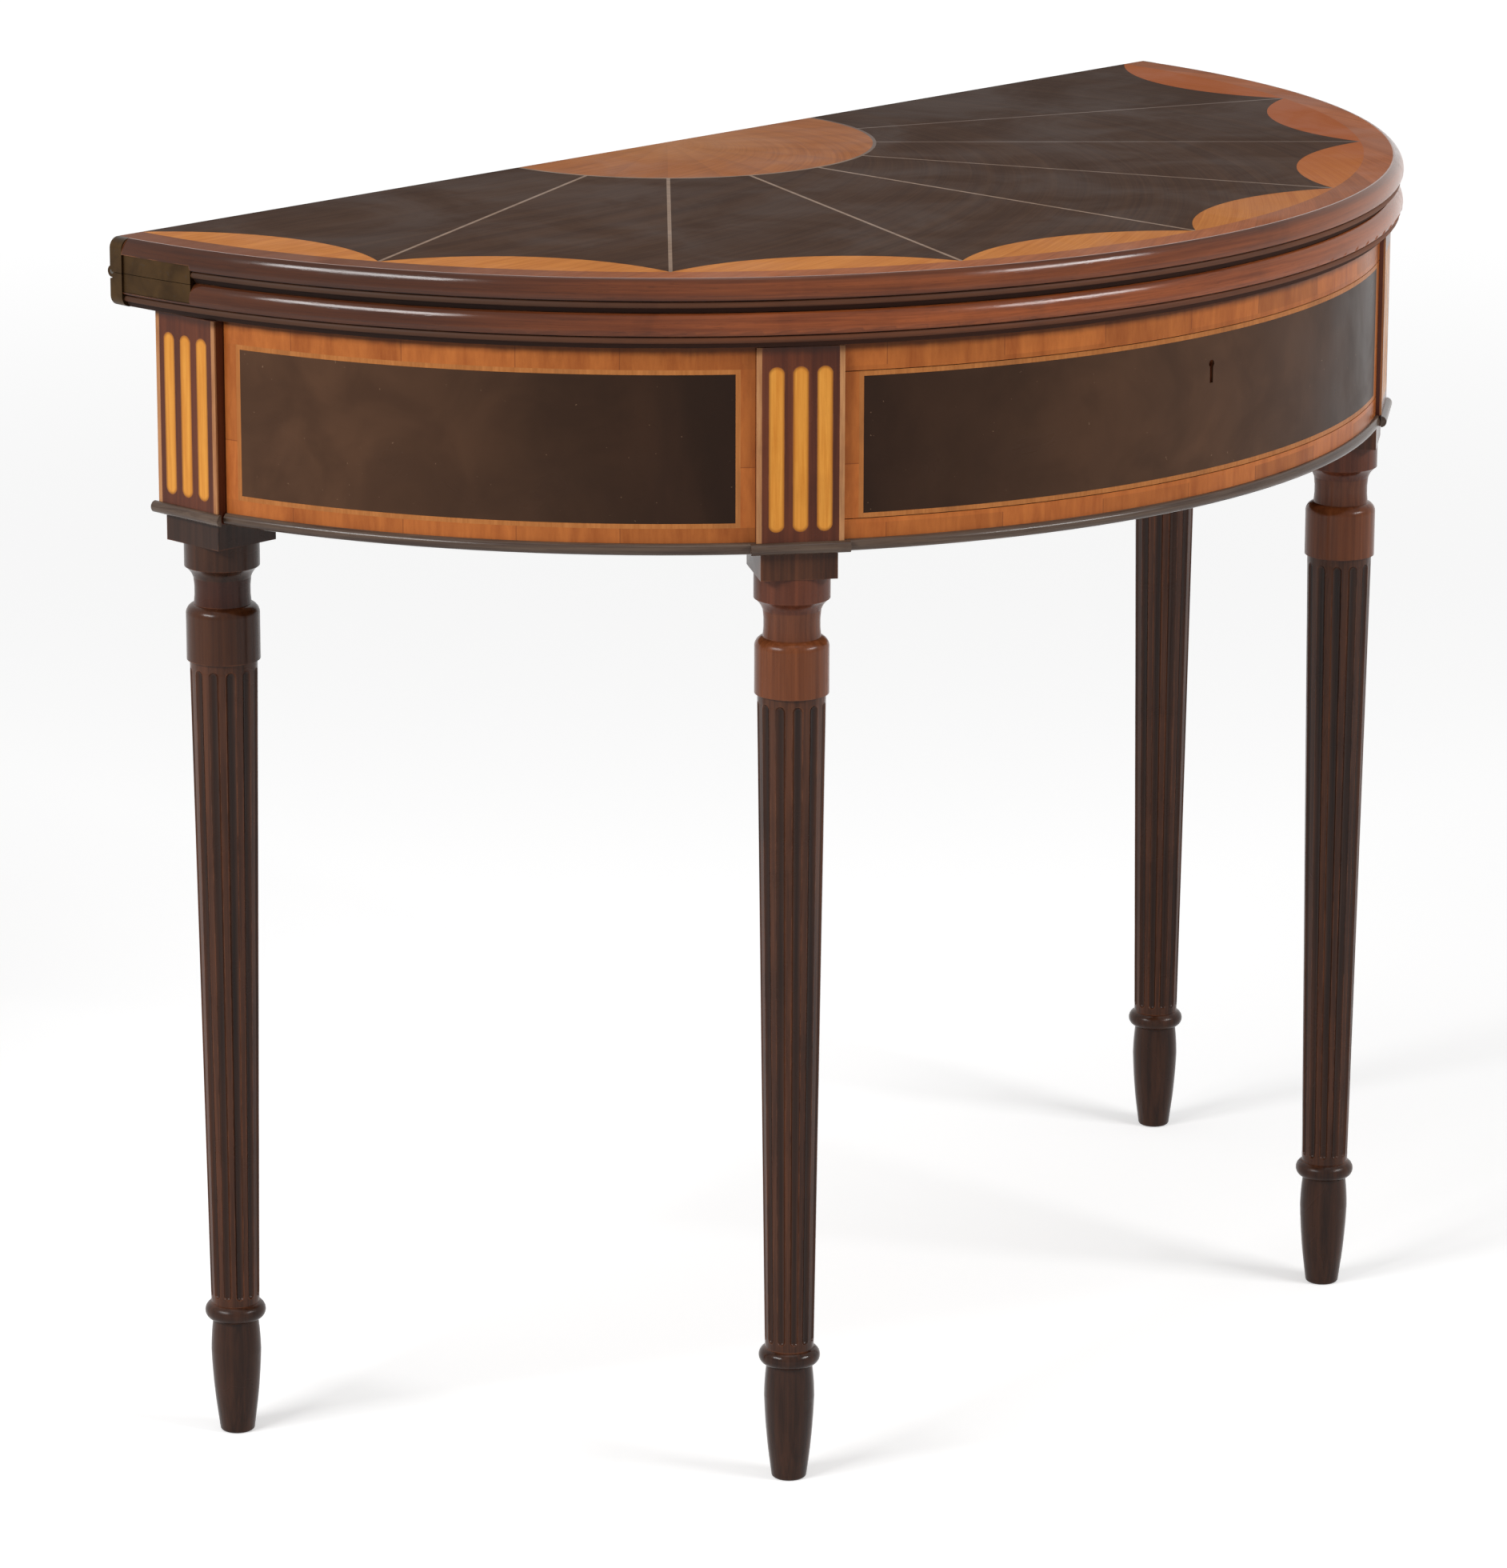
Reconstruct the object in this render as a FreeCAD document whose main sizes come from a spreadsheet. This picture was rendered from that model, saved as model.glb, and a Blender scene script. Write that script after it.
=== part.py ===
import FreeCAD, Part
import Sketcher
import os
import re

# Half-round fold-over table: two leaves, curved frieze with a drawer, gate legs at the back.
# +X runs along the straight back, the round front faces -Y, +Z is up, the feet stand on z = 0.

# Driving dimensions in millimetres, angles in degrees.
SIZES = {
    # leaves
    "table_height": 730,
    "leaf_radius": 460,
    "leaf_thickness": 20,
    "leaf_gap": 0.3,
    "back_gap": 0.15,
    "nose_inset": 6,
    "nose_share": 0.62,
    "nose_drop_share": 0.45,
    "nose_tail_inset": 2,
    "quirk_inset": 3.6,
    "quirk_share": 0.04,
    "edge_bead_inset": 1.8,
    "edge_bead_share": 0.17,
    "undercut_inset": 6.5,
    # marquetry of the upper leaf
    "veneer_thickness": 1.2,
    "veneer_margin": 7,
    "rim_band_width": 18,
    "scallop_depth": 39,
    "wedge_count": 8,
    "string_width": 2.2,
    "medallion_radius": 131,
    "fan_count": 12,
    "fan_boss_radius": 20,
    # leaf hinges
    "hinge_eye_radius": 3.5,
    "hinge_eye_width": 2.6,
    "hinge_pin_radius": 1.5,
    "hinge_side_gap": 0.2,
    "hinge_plate_length": 64,
    "hinge_plate_height": 11,
    "hinge_plate_depth": 7,
    "hinge_strap_inset": 1.2,
    "hinge_corner_length": 10,
    "hinge_corner_share": 0.9,
    "hinge_screw_radius": 1.3,
    "hinge_screw_head_radius": 2.4,
    "hinge_screw_head_height": 2,
    "hinge_screw_length": 16,
    "hinge_screw_sink": 1.4,
    "hinge_screw_share": 0.42,
    "hinge_screw_end_share": 0.86,
    "running_fit": 0.05,
    # frieze
    "frieze_height": 121,
    "leaf_overhang": 11,
    "rail_thickness": 22,
    "glue_line": 0.15,
    "top_band_width": 13.5,
    "band_width": 8.5,
    "panel_string_width": 2.8,
    "drawer_band_width": 8.5,
    "bead_height": 7,
    "joint_gap": 0.5,
    "back_rail_thickness": 22,
    "back_rail_lift": 10,
    # legs
    "front_leg_angle": 54.4,
    "head_proud": 3,
    "head_width": 51,
    "rear_leg_inset": 52,
    "block_width": 45,
    "block_height": 16,
    "drum_radius": 22.25,
    "drum_height": 15,
    "cove_height": 7,
    "cove_out_share": 0.42,
    "cove_up_share": 0.6,
    "neck_radius": 17,
    "neck_height": 16,
    "neck_waist": 0.6,
    "shoulder_height": 6.5,
    "shoulder_out_share": 0.75,
    "shoulder_up_share": 0.65,
    "collar_radius": 21.75,
    "collar_height": 27,
    "shaft_top_radius": 20,
    "shaft_bottom_radius": 14.5,
    "ring_radius": 18.25,
    "ring_height": 10.5,
    "foot_height": 71.5,
    "foot_top_radius": 13.6,
    "foot_belly_radius": 15,
    "foot_belly_share": 0.72,
    "foot_swell_share": 0.66,
    "foot_taper_share": 0.3,
    "foot_end_radius": 10.5,
    "foot_round": 2,
    "flute_count": 12,
    "flute_top_radius": 3.6,
    "flute_bottom_radius": 2.7,
    "flute_depth_share": 0.54,
    "flute_margin": 4,
    # pilaster inlay
    "bar_side_margin": 4,
    "bar_gap": 5,
    "bar_end_share": 0.4,
    "bar_top_margin": 12,
    "bar_bottom_margin": 13,
    "inlay_depth": 1.2,
    "pilaster_string_width": 3,
    # gates
    "gate_gap": 0.5,
    "fly_rail_thickness": 25,
    "gate_pin_x": 95,
    "gate_pin_radius": 4,
    "gate_swing": 70,
    "swing_clearance": 0.5,
    "knuckle_count": 5,
    "knuckle_gap": 0.4,
    "tenon_length": 28,
    "tenon_thickness": 9,
    "tenon_shoulder": 14,
    # drawer
    "drawer_gap": 0.5,
    "drawer_side_thickness": 10,
    "drawer_side_drop": 2,
    "drawer_back_thickness": 10,
    "drawer_back_gap": 12,
    "drawer_bottom_lift": 6,
    "drawer_bottom_thickness": 6,
    "drawer_groove_depth": 4,
    "runner_clearance": 1,
    "runner_width": 20,
    "runner_height": 15,
    "guide_thickness": 7,
    "stop_x": 70,
    "stop_width": 30,
    "stop_depth": 8,
    "stop_height": 3.5,
    # lock
    "lock_width": 44,
    "lock_height": 36,
    "lock_thickness": 9,
    "bolt_width": 14,
    "bolt_thickness": 5,
    "bolt_height": 16,
    "bolt_travel": 6.5,
    "bolt_clearance": 0.2,
    "mortise_clearance": 1,
    "keyhole_drop": 20,
    "keyhole_radius": 2.3,
    "keyhole_slot_width": 2.8,
    "keyhole_slot_length": 11.5,
    "keyhole_plate": 2.5,
    # glue blocks and screws
    "block_size": 24,
    "block_length": 50,
    "top_screw_radius": 2.2,
    "top_screw_head_radius": 4.4,
    "top_screw_head_height": 3,
    "top_screw_bite": 13,
    "cut_overrun": 5,
}

# Places of the glue blocks inside the frieze, as shares of the way from the back rail to a front leg.
GLUE_BLOCK_SHARES = (0.1, 0.72)

# Places and sizes worked out from the driving dimensions.
PLACES = {
    "centre_y": "(leaf_radius - back_gap - hinge_eye_radius) / 2",
    "hinge_y": "centre_y + back_gap",
    "nose_drop": "leaf_thickness * nose_drop_share",
    "nose_bend": "(nose_inset^2 + nose_drop^2) / 2 / nose_inset",
    "nose_turn": "asin(nose_drop / nose_bend)",
    "nose_tail": "leaf_thickness * nose_share - nose_drop",
    "tail_bend": "(nose_tail_inset^2 + nose_tail^2) / 2 / nose_tail_inset",
    "tail_turn": "asin(nose_tail / tail_bend)",
    "upper_under": "table_height - leaf_thickness",
    "lower_top": "upper_under - leaf_gap",
    "hinge_z": "upper_under - leaf_gap / 2",
    "frieze_top": "lower_top - leaf_thickness",
    "frieze_bottom": "frieze_top - frieze_height",
    "frieze_radius": "leaf_radius - leaf_overhang",
    "core_radius": "frieze_radius - veneer_thickness",
    "inner_radius": "frieze_radius - rail_thickness",
    "front_turn": "front_leg_angle * 1 deg",
    "left_leg_ray": "180 deg + front_turn",
    "right_leg_ray": "360 deg - front_turn",
    "front_leg_radius": "frieze_radius + head_proud - head_width / 2",
    "front_leg_x": "front_leg_radius * cos(front_turn)",
    "front_leg_y": "centre_y - front_leg_radius * sin(front_turn)",
    "rear_leg_x": "frieze_radius - head_width / 2",
    "rear_leg_y": "centre_y - rear_leg_inset",
    "rear_head_front": "rear_leg_inset + head_width / 2",
    "frieze_end": "rear_head_front + joint_gap",
    "back_rail_front": "frieze_end + back_rail_thickness",
    "panel_start": "180 deg + asin(frieze_end / core_radius)",
    "head_half_angle": "asin(head_width / 2 / core_radius)",
    "panel_end": "left_leg_ray - head_half_angle",
    "rail_start": "left_leg_ray + head_half_angle",
    "rail_end": "right_leg_ray - head_half_angle",
    "drawer_half_angle": "asin((head_width / 2 + drawer_gap) / core_radius)",
    "drawer_start": "left_leg_ray + drawer_half_angle",
    "drawer_end": "right_leg_ray - drawer_half_angle",
    "bead_top": "frieze_bottom + bead_height",
    "low_band_top": "bead_top + band_width",
    "low_string_top": "low_band_top + panel_string_width",
    "high_band_low": "frieze_top - top_band_width",
    "high_string_low": "high_band_low - panel_string_width",
    "band_sweep": "band_width / frieze_radius * 1 rad",
    "drawer_band_sweep": "drawer_band_width / frieze_radius * 1 rad",
    "string_sweep": "panel_string_width / frieze_radius * 1 rad",
    "head_top": "frieze_top - gate_gap",
    "bar_width": "(head_width - 2 * (pilaster_string_width + bar_side_margin + bar_gap)) / 3",
    "bar_pitch": "bar_width + bar_gap",
    "block_low": "frieze_bottom - block_height",
    "drum_low": "block_low - drum_height",
    "neck_high": "drum_low - cove_height",
    "neck_low": "neck_high - neck_height",
    "collar_high": "neck_low - shoulder_height",
    "collar_low": "collar_high - collar_height",
    "shaft_low": "foot_height + ring_height",
    "belly_z": "foot_height * foot_belly_share",
    "flute_high": "collar_low - flute_margin - flute_top_radius",
    "flute_low": "shaft_low + flute_margin + flute_bottom_radius",
    "flute_high_x": "shaft_top_radius + flute_top_radius * (1 - flute_depth_share)",
    "flute_low_x": "shaft_bottom_radius + flute_bottom_radius * (1 - flute_depth_share)",
    "flute_lean": "(flute_high_x - flute_low_x) / (flute_high - flute_low)",
    "gate_bottom": "frieze_bottom + back_rail_lift",
    "knuckle_radius": "fly_rail_thickness / 2",
    "knuckle_height": "(head_top - gate_bottom) / knuckle_count",
    "swing_radius": "knuckle_radius / cos(gate_swing * 1 deg / 2) + swing_clearance",
    "fly_front_y": "centre_y - rear_head_front",
    "gate_y": "fly_front_y + knuckle_radius",
    "drawer_low": "low_string_top + drawer_gap",
    "drawer_high": "high_string_low - drawer_gap",
    "head_inner_radius": "front_leg_radius - head_width / 2",
    "head_corner_x": "head_inner_radius * cos(front_turn) - head_width / 2 * sin(front_turn)",
    "runner_x": "head_corner_x - runner_clearance",
    "drawer_half": "runner_x - guide_thickness - drawer_gap",
    "drawer_inside": "drawer_half - drawer_side_thickness",
    "drawer_back_y": "centre_y - back_rail_front - drawer_back_gap",
    "drawer_floor": "drawer_low + drawer_bottom_lift",
    "drawer_floor_top": "drawer_floor + drawer_bottom_thickness",
    "drawer_side_top": "drawer_high - drawer_side_drop",
    "drawer_face_y": "centre_y - inner_radius",
    "stop_back": "centre_y - sqrt(inner_radius^2 - (stop_x + stop_width)^2) + stop_depth",
    "lock_y": "drawer_face_y - lock_thickness",
    "bolt_y": "drawer_face_y - (lock_thickness + bolt_thickness) / 2",
    "keyhole_z": "drawer_high - keyhole_drop",
    "veneer_low": "table_height - veneer_thickness",
    "veneer_radius": "leaf_radius - veneer_margin",
    "rim_radius": "veneer_radius - rim_band_width",
    "wedge_angle": "180 deg / wedge_count",
    "scallop_in": "rim_radius - scallop_depth",
    "scallop_place": "(rim_radius^2 - scallop_in^2) / 2 / (rim_radius * cos(wedge_angle / 2) - scallop_in)",
    "fan_radius": "medallion_radius - string_width",
    "fan_angle": "180 deg / fan_count",
    "hinge_sweep": "hinge_plate_length / leaf_radius * 1 rad",
    "corner_sweep": "hinge_corner_length / leaf_radius * 1 rad",
    "corner_round": "hinge_plate_depth * hinge_corner_share",
    "hinge_in": "leaf_radius - hinge_plate_depth",
    "screw_outer": "leaf_radius - hinge_screw_sink",
    "screw_neck": "screw_outer - hinge_screw_head_height",
    "eye_split": "hinge_in + hinge_side_gap + hinge_eye_width",
    "eye_end": "eye_split + hinge_side_gap + hinge_eye_width",
    "notch_radius": "hinge_eye_radius + leaf_gap",
    "stick_inner": "inner_radius - block_size",
    "stick_half_angle": "asin(block_length / 2 / stick_inner)",
    "stick_first": "asin(back_rail_front / stick_inner) + stick_half_angle",
    "stick_last": "front_turn - asin(head_width / 2 / stick_inner) - stick_half_angle",
}

doc = FreeCAD.newDocument("demilune_table")
sheet = doc.addObject("Spreadsheet::Sheet", "Sizes")
for row, (alias, value) in enumerate(SIZES.items(), start=1):
    sheet.set(f"A{row}", alias)
    sheet.set(f"B{row}", str(value))
    sheet.setAlias(f"B{row}", alias)
doc.recompute()

V = FreeCAD.Vector
nodes = []


def ex(text):
    """Write a size formula out in terms of the sheet's cells."""
    def swap(found):
        word = found.group(0)
        if word in PLACES:
            return "(" + ex(PLACES[word]) + ")"
        return "Sizes." + word if word in SIZES else word
    return re.sub(r"[a-z][a-z0-9_]*", swap, text)


def num(text):
    """Value of a size formula, as a plain number."""
    value = sheet.evalExpression(ex(text))
    return float(getattr(value, "Value", value))


def count(alias):
    return int(round(num(alias)))


def node(label, obj):
    """Mark an object as one sub-part of the table."""
    obj.Label = label
    nodes.append(obj)
    return obj


def place(obj, x="0", y="0", z="0", turn="0 deg"):
    for axis, text in zip("xyz", (x, y, z)):
        obj.setExpression(f"Placement.Base.{axis}", ex(text))
    obj.setExpression("Placement.Rotation.Angle", ex(turn))
    return obj


def box(name, x, y, z):
    """Block between two limits along each axis."""
    obj = doc.addObject("Part::Box", name)
    for prop, (low, high) in zip(("Length", "Width", "Height"), (x, y, z)):
        obj.setExpression(prop, ex(f"({high}) - ({low})"))
    return place(obj, x[0], y[0], z[0])


def rod(name, radius, low, high, x="0", y="0", z="0", along="z"):
    """Round bar from low to high along one axis, at the two other coordinates given."""
    obj = doc.addObject("Part::Cylinder", name)
    obj.setExpression("Radius", ex(radius))
    obj.setExpression("Height", ex(f"({high}) - ({low})"))
    spin = {"x": (V(0, 1, 0), 90), "y": (V(1, 0, 0), -90), "z": (V(0, 0, 1), 0)}[along]
    obj.Placement = FreeCAD.Placement(V(0, 0, 0), FreeCAD.Rotation(*spin))
    spot = {"x": x, "y": y, "z": z}
    spot[along] = low
    for axis, text in spot.items():
        obj.setExpression(f"Placement.Base.{axis}", ex(text))
    return obj


def group(name, members):
    obj = doc.addObject("Part::Compound", name)
    obj.Links = members
    return obj


def fuse(name, members):
    obj = doc.addObject("Part::MultiFuse", name)
    obj.Shapes = members
    return obj


def cut(name, base, tools):
    obj = doc.addObject("Part::Cut", name)
    obj.Base = base
    obj.Tool = tools[0] if len(tools) == 1 else group(name + "_tools", tools)
    return obj


def common(name, base, tool):
    obj = doc.addObject("Part::Common", name)
    obj.Base = base
    obj.Tool = tool
    return obj


def mirror(name, source):
    """The same piece on the other side of the table."""
    obj = doc.addObject("Part::Mirroring", name)
    obj.Source = source
    obj.Normal = V(1, 0, 0)
    obj.Base = V(0, 0, 0)
    return obj


def pin_point(sketch, geo, pos, name, texts):
    """Hold a sketch point at a place given by two size formulas."""
    kinds = (("DistanceX", -2), ("DistanceY", -1))
    for (kind, axis), text, mark in zip(kinds, texts, "xy"):
        if text == "0":
            sketch.addConstraint(Sketcher.Constraint("PointOnObject", geo, pos, axis))
            continue
        index = sketch.addConstraint(Sketcher.Constraint(kind, -1, 1, geo, pos, num(text)))
        sketch.renameConstraint(index, name + mark)
        sketch.setExpression("Constraints." + name + mark, ex(text))


def outline_sketch(body, name, outline):
    """Closed outline in the XZ plane: corners (x, z), with a point on the way where an arc follows."""
    sketch = body.newObject("Sketcher::SketchObject", name)
    plane = next(item for item in body.Origin.OriginFeatures if item.Role == "XZ_Plane")
    sketch.AttachmentSupport = [(plane, "")]
    sketch.MapMode = "FlatFace"
    corners = [V(num(corner[0]), num(corner[1]), 0) for corner in outline]
    starts = []
    for index, corner in enumerate(outline):
        start, end = corners[index], corners[(index + 1) % len(corners)]
        if len(corner) == 4:
            edge = Part.Arc(start, V(num(corner[2]), num(corner[3]), 0), end)
        else:
            edge = Part.LineSegment(start, end)
        sketch.addGeometry(edge, False)
        first, last = sketch.getPoint(index, 1), sketch.getPoint(index, 2)
        starts.append(1 if (first - start).Length <= (last - start).Length else 2)
    for index, corner in enumerate(outline):
        after = (index + 1) % len(outline)
        join = (index, 3 - starts[index], after, starts[after])
        sketch.addConstraint(Sketcher.Constraint("Coincident", *join))
        pin_point(sketch, index, starts[index], f"p{index}", corner[:2])
        if len(corner) == 4:
            way = sketch.addGeometry(Part.Point(V(num(corner[2]), num(corner[3]), 0)), True)
            pin_point(sketch, way, 1, f"w{index}", corner[2:])
            sketch.addConstraint(Sketcher.Constraint("PointOnObject", way, 1, index))
    return sketch


def turned(name, outline, start="0 deg", sweep="360 deg", x="0", y="centre_y"):
    """Outline (radius, height) turned about a vertical axis, from one angle through a sweep."""
    body = doc.addObject("PartDesign::Body", name)
    sketch = outline_sketch(body, name + "_outline", outline)
    solid = body.newObject("PartDesign::Revolution", name + "_turn")
    solid.Profile = sketch
    solid.ReferenceAxis = (sketch, ["V_Axis"])
    solid.setExpression("Angle", ex(sweep))
    return place(body, x, y, "0", start)


def ring(name, inner, outer, low, high, start, end):
    """Piece of a flat ring about the middle of the back edge."""
    outline = [(inner, low), (outer, low), (outer, high), (inner, high)]
    return turned(name, outline, start, f"({end}) - ({start})")


def sector(name, outer, low, high, start, end):
    """Piece of a half disc about the middle of the back edge."""
    outline = [("0", low), (outer, low), (outer, high), ("0", high)]
    return turned(name, outline, start, f"({end}) - ({start})")


def inner_space(name, clearance="0"):
    """Everything inside the frieze's curve, to shape the ends of what meets it."""
    return rod(name, f"inner_radius - {clearance}", "frieze_bottom - cut_overrun", "frieze_top + cut_overrun",
               "0", "centre_y")


# Leaves

def leaf_outline(top, veneered):
    """Moulded edge from the top down: round nose, quirk, bead and undercut."""
    nose_mid = f"{top} - nose_drop"
    nose_low = f"{nose_mid} - nose_tail"
    quirk_low = f"{nose_low} - leaf_thickness * quirk_share"
    bead_low = f"{quirk_low} - leaf_thickness * edge_bead_share"
    under = f"{top} - leaf_thickness"
    edge = [
        ("leaf_radius - nose_inset", top,
         "leaf_radius - nose_bend * (1 - cos(nose_turn / 2))", f"{nose_mid} + nose_bend * sin(nose_turn / 2)"),
        ("leaf_radius", nose_mid,
         "leaf_radius - tail_bend * (1 - cos(tail_turn / 2))", f"{nose_mid} - tail_bend * sin(tail_turn / 2)"),
        ("leaf_radius - nose_tail_inset", nose_low),
        ("leaf_radius - quirk_inset", nose_low),
        ("leaf_radius - quirk_inset", quirk_low,
         "leaf_radius - edge_bead_inset", f"{quirk_low} - leaf_thickness * edge_bead_share / 2"),
        ("leaf_radius - quirk_inset", bead_low),
        ("leaf_radius - undercut_inset", under),
        ("0", under),
    ]
    if not veneered:
        return [("0", top)] + edge
    return [("0", "veneer_low"), ("veneer_radius", "veneer_low"), ("veneer_radius", top)] + edge


def hinge_ring(name, outer, low, high, sweep):
    """Room along the left end of a leaf's edge, starting at the back corner."""
    return ring(name, "hinge_in", outer, low, high, "180 deg", f"180 deg + {sweep}")


def hinge_rod(name, radius, near, far):
    """Round bar on the hinge line at the left end, between two distances from the middle."""
    return rod(name, radius, f"-({far})", f"-({near})", y="hinge_y", z="hinge_z", along="x")


def hinge_screw(name, share, z):
    """Wood screw set towards the middle of the leaf, its head sunk in the hinge plate."""
    head = rod(name + "_head", "hinge_screw_head_radius", "screw_neck", "screw_outer", z=z, along="x")
    shank = rod(name + "_shank", "hinge_screw_radius", "leaf_radius - hinge_screw_length", "screw_neck", z=z,
                along="x")
    return place(group(name, [fuse(name + "_body", [head, shank])]), "0", "centre_y", "0",
                 f"180 deg + hinge_sweep * {share}")


class Hinge:
    """One hinge plate at the left end: strap and corner block, its screws and the leaf's recess."""

    def __init__(self, which, low, high, leaf_low, leaf_high):
        beyond = "leaf_radius + cut_overrun"
        strap_space = hinge_ring(f"{which}_strap_space", beyond, low, high, "hinge_sweep")
        corner_space = hinge_ring(f"{which}_corner_space", beyond, leaf_low, leaf_high, "corner_sweep")
        self.recess = fuse(f"{which}_hinge_recess", [strap_space, corner_space])
        strap = hinge_ring(f"{which}_strap", "leaf_radius - hinge_strap_inset", low, high, "hinge_sweep")
        side = self.rounded_side(which, leaf_low, leaf_high)
        corner = turned(f"{which}_corner", [("hinge_in", leaf_low)] + side + [("hinge_in", leaf_high)],
                        "180 deg", "corner_sweep")
        self.plate = fuse(f"{which}_hinge_plate", [strap, corner])
        middle = f"(({low}) + ({high})) / 2"
        self.screws = [hinge_screw(f"{which}_hinge_screw_{share}", share, middle)
                       for share in ("hinge_screw_share", "hinge_screw_end_share")]

    def rounded_side(self, which, leaf_low, leaf_high):
        """Outer side of a corner block, round only where it doesn't meet the other leaf."""
        flat_end, bend = "leaf_radius - corner_round", "corner_round * (1 - cos(45 deg))"
        if which == "upper":
            return [("leaf_radius", leaf_low),
                    ("leaf_radius", f"{leaf_high} - corner_round",
                     f"leaf_radius - {bend}", f"{leaf_high} - {bend}"),
                    (flat_end, leaf_high)]
        return [(flat_end, leaf_low, f"leaf_radius - {bend}", f"{leaf_low} + {bend}"),
                ("leaf_radius", f"{leaf_low} + corner_round"),
                ("leaf_radius", leaf_high)]


lower_hinge = Hinge("lower", "lower_top - hinge_plate_height", "lower_top", "frieze_top", "lower_top")
upper_hinge = Hinge("upper", "upper_under", "upper_under + hinge_plate_height", "upper_under", "table_height")
hinge_pin = hinge_rod("hinge_pin_left", "hinge_pin_radius", "hinge_in + hinge_side_gap", "eye_end")
pin_hole = hinge_rod("hinge_pin_hole", "hinge_pin_radius + running_fit", "eye_split",
                     "leaf_radius + cut_overrun")
lower_eye = hinge_rod("lower_eye", "hinge_eye_radius", "hinge_in + hinge_side_gap", "eye_split")
upper_eye = hinge_rod("upper_eye", "hinge_eye_radius", "eye_split + hinge_side_gap", "eye_end")
lower_notch = hinge_rod("lower_notch", "notch_radius", "hinge_in - cut_overrun", "eye_split + hinge_side_gap")
upper_notch = hinge_rod("upper_notch", "notch_radius", "eye_split", "leaf_radius + cut_overrun")
eye_notch = hinge_rod("eye_notch", "notch_radius", "hinge_in - hinge_side_gap", "leaf_radius + cut_overrun")

lower_blank = turned("lower_leaf_blank", leaf_outline("lower_top", False), "180 deg", "180 deg")
upper_blank = turned("upper_leaf_blank", leaf_outline("table_height", True), "180 deg", "180 deg")


def leaf(label, blank, hinge):
    """Leaf with its hinge recesses, eye notches and screw holes at both ends."""
    tools = [hinge.recess, eye_notch] + hinge.screws
    return cut(label, blank, tools + [mirror(f"{label}_{tool.Name}_right", tool) for tool in tools])


def hinge_plates(label, hinge, eye, other_notch, hole):
    """Pair of brass plates with their eyes on the hinge line, cut for the other leaf's eye."""
    cleared = cut(label + "_cleared", hinge.plate, [other_notch] + hinge.screws)
    left = cut(label + "_left", fuse(label + "_with_eye", [cleared, eye]), [hole])
    return group(label, [left, mirror(label + "_right", left)])


node("upper_leaf", leaf("upper_leaf_wood", upper_blank, upper_hinge))
node("upper_hinge_plates", hinge_plates("upper_plates", upper_hinge, upper_eye, lower_notch, pin_hole))
node("lower_hinge_plates", hinge_plates("lower_plates", lower_hinge, lower_eye, upper_notch, hinge_pin))
node("hinge_pins", group("pins", [hinge_pin, mirror("hinge_pin_right", hinge_pin)]))
for which, hinge in (("upper", upper_hinge), ("lower", lower_hinge)):
    pairs = hinge.screws + [mirror(screw.Name + "_right", screw) for screw in hinge.screws]
    node(f"{which}_hinge_screws", group(f"{which}_screws", pairs))


# Marquetry of the upper leaf

def scallop_disc(name, index):
    """Disc whose inner edge is the scallop's curve, from cusp to cusp."""
    middle = f"(180 deg + wedge_angle * {index + 0.5})"
    return rod(name, "scallop_place - scallop_in", "veneer_low", "table_height",
               f"scallop_place * cos({middle})", f"centre_y + scallop_place * sin({middle})")


def radial_strip(name, index):
    """Straight string from the medallion to the rim, on the line between two wedges."""
    strip = box(name + "_strip", ("medallion_radius - cut_overrun", "rim_radius"),
                ("-string_width / 2", "string_width / 2"), ("veneer_low", "table_height"))
    return place(group(name, [strip]), "0", "centre_y", "0", f"180 deg + wedge_angle * {index}")


def inlay(name, inner, outer, start="180 deg", end="360 deg"):
    """Ring-shaped piece of veneer let into the top."""
    return ring(name, inner, outer, "veneer_low", "table_height", start, end)


wedges = count("wedge_count")
discs = [scallop_disc(f"scallop_disc_{i}", i) for i in range(wedges)]
strips = [radial_strip(f"string_strip_{i}", i) for i in range(1, wedges)]
field = inlay("marquetry_field", "medallion_radius", "rim_radius")
inside_rim = sector("inside_rim", "rim_radius", "veneer_low", "table_height", "180 deg", "360 deg")
grounds, scallops, rim_bands = [], [], []
for i in range(wedges):
    ends = (f"180 deg + wedge_angle * {i}", f"180 deg + wedge_angle * {i + 1}")
    wedge = inlay(f"wedge_{i}", "medallion_radius", "rim_radius", *ends)
    grounds.append(cut(f"ground_{i}", wedge, [discs[i]] + strips[max(i - 1, 0):i + 1]))
    scallops.append(common(f"scallop_{i}", discs[i], inside_rim))
    rim_bands.append(inlay(f"rim_band_{i}", "rim_radius", "veneer_radius", *ends))
strings = [cut(f"string_{i}", common(f"string_length_{i}", strips[i - 1], field), [discs[i - 1], discs[i]])
           for i in range(1, wedges)]
node("top_ground_wedges", group("grounds", grounds))
node("top_scallops", group("scallops", scallops))
node("top_rim_crossband", group("rim_bands", rim_bands))
node("top_radial_strings", group("strings", strings))
node("fan_border_string", inlay("fan_border", "fan_radius", "medallion_radius"))
fan = [inlay(f"fan_{i}", "fan_boss_radius", "fan_radius", f"180 deg + fan_angle * {i}",
             f"180 deg + fan_angle * {i + 1}") for i in range(count("fan_count"))]
node("fan_segments", group("fan", fan))
node("fan_boss", sector("fan_centre", "fan_boss_radius", "veneer_low", "table_height", "180 deg", "360 deg"))


# Legs, modelled about their own axis with the outer face towards -X

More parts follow.
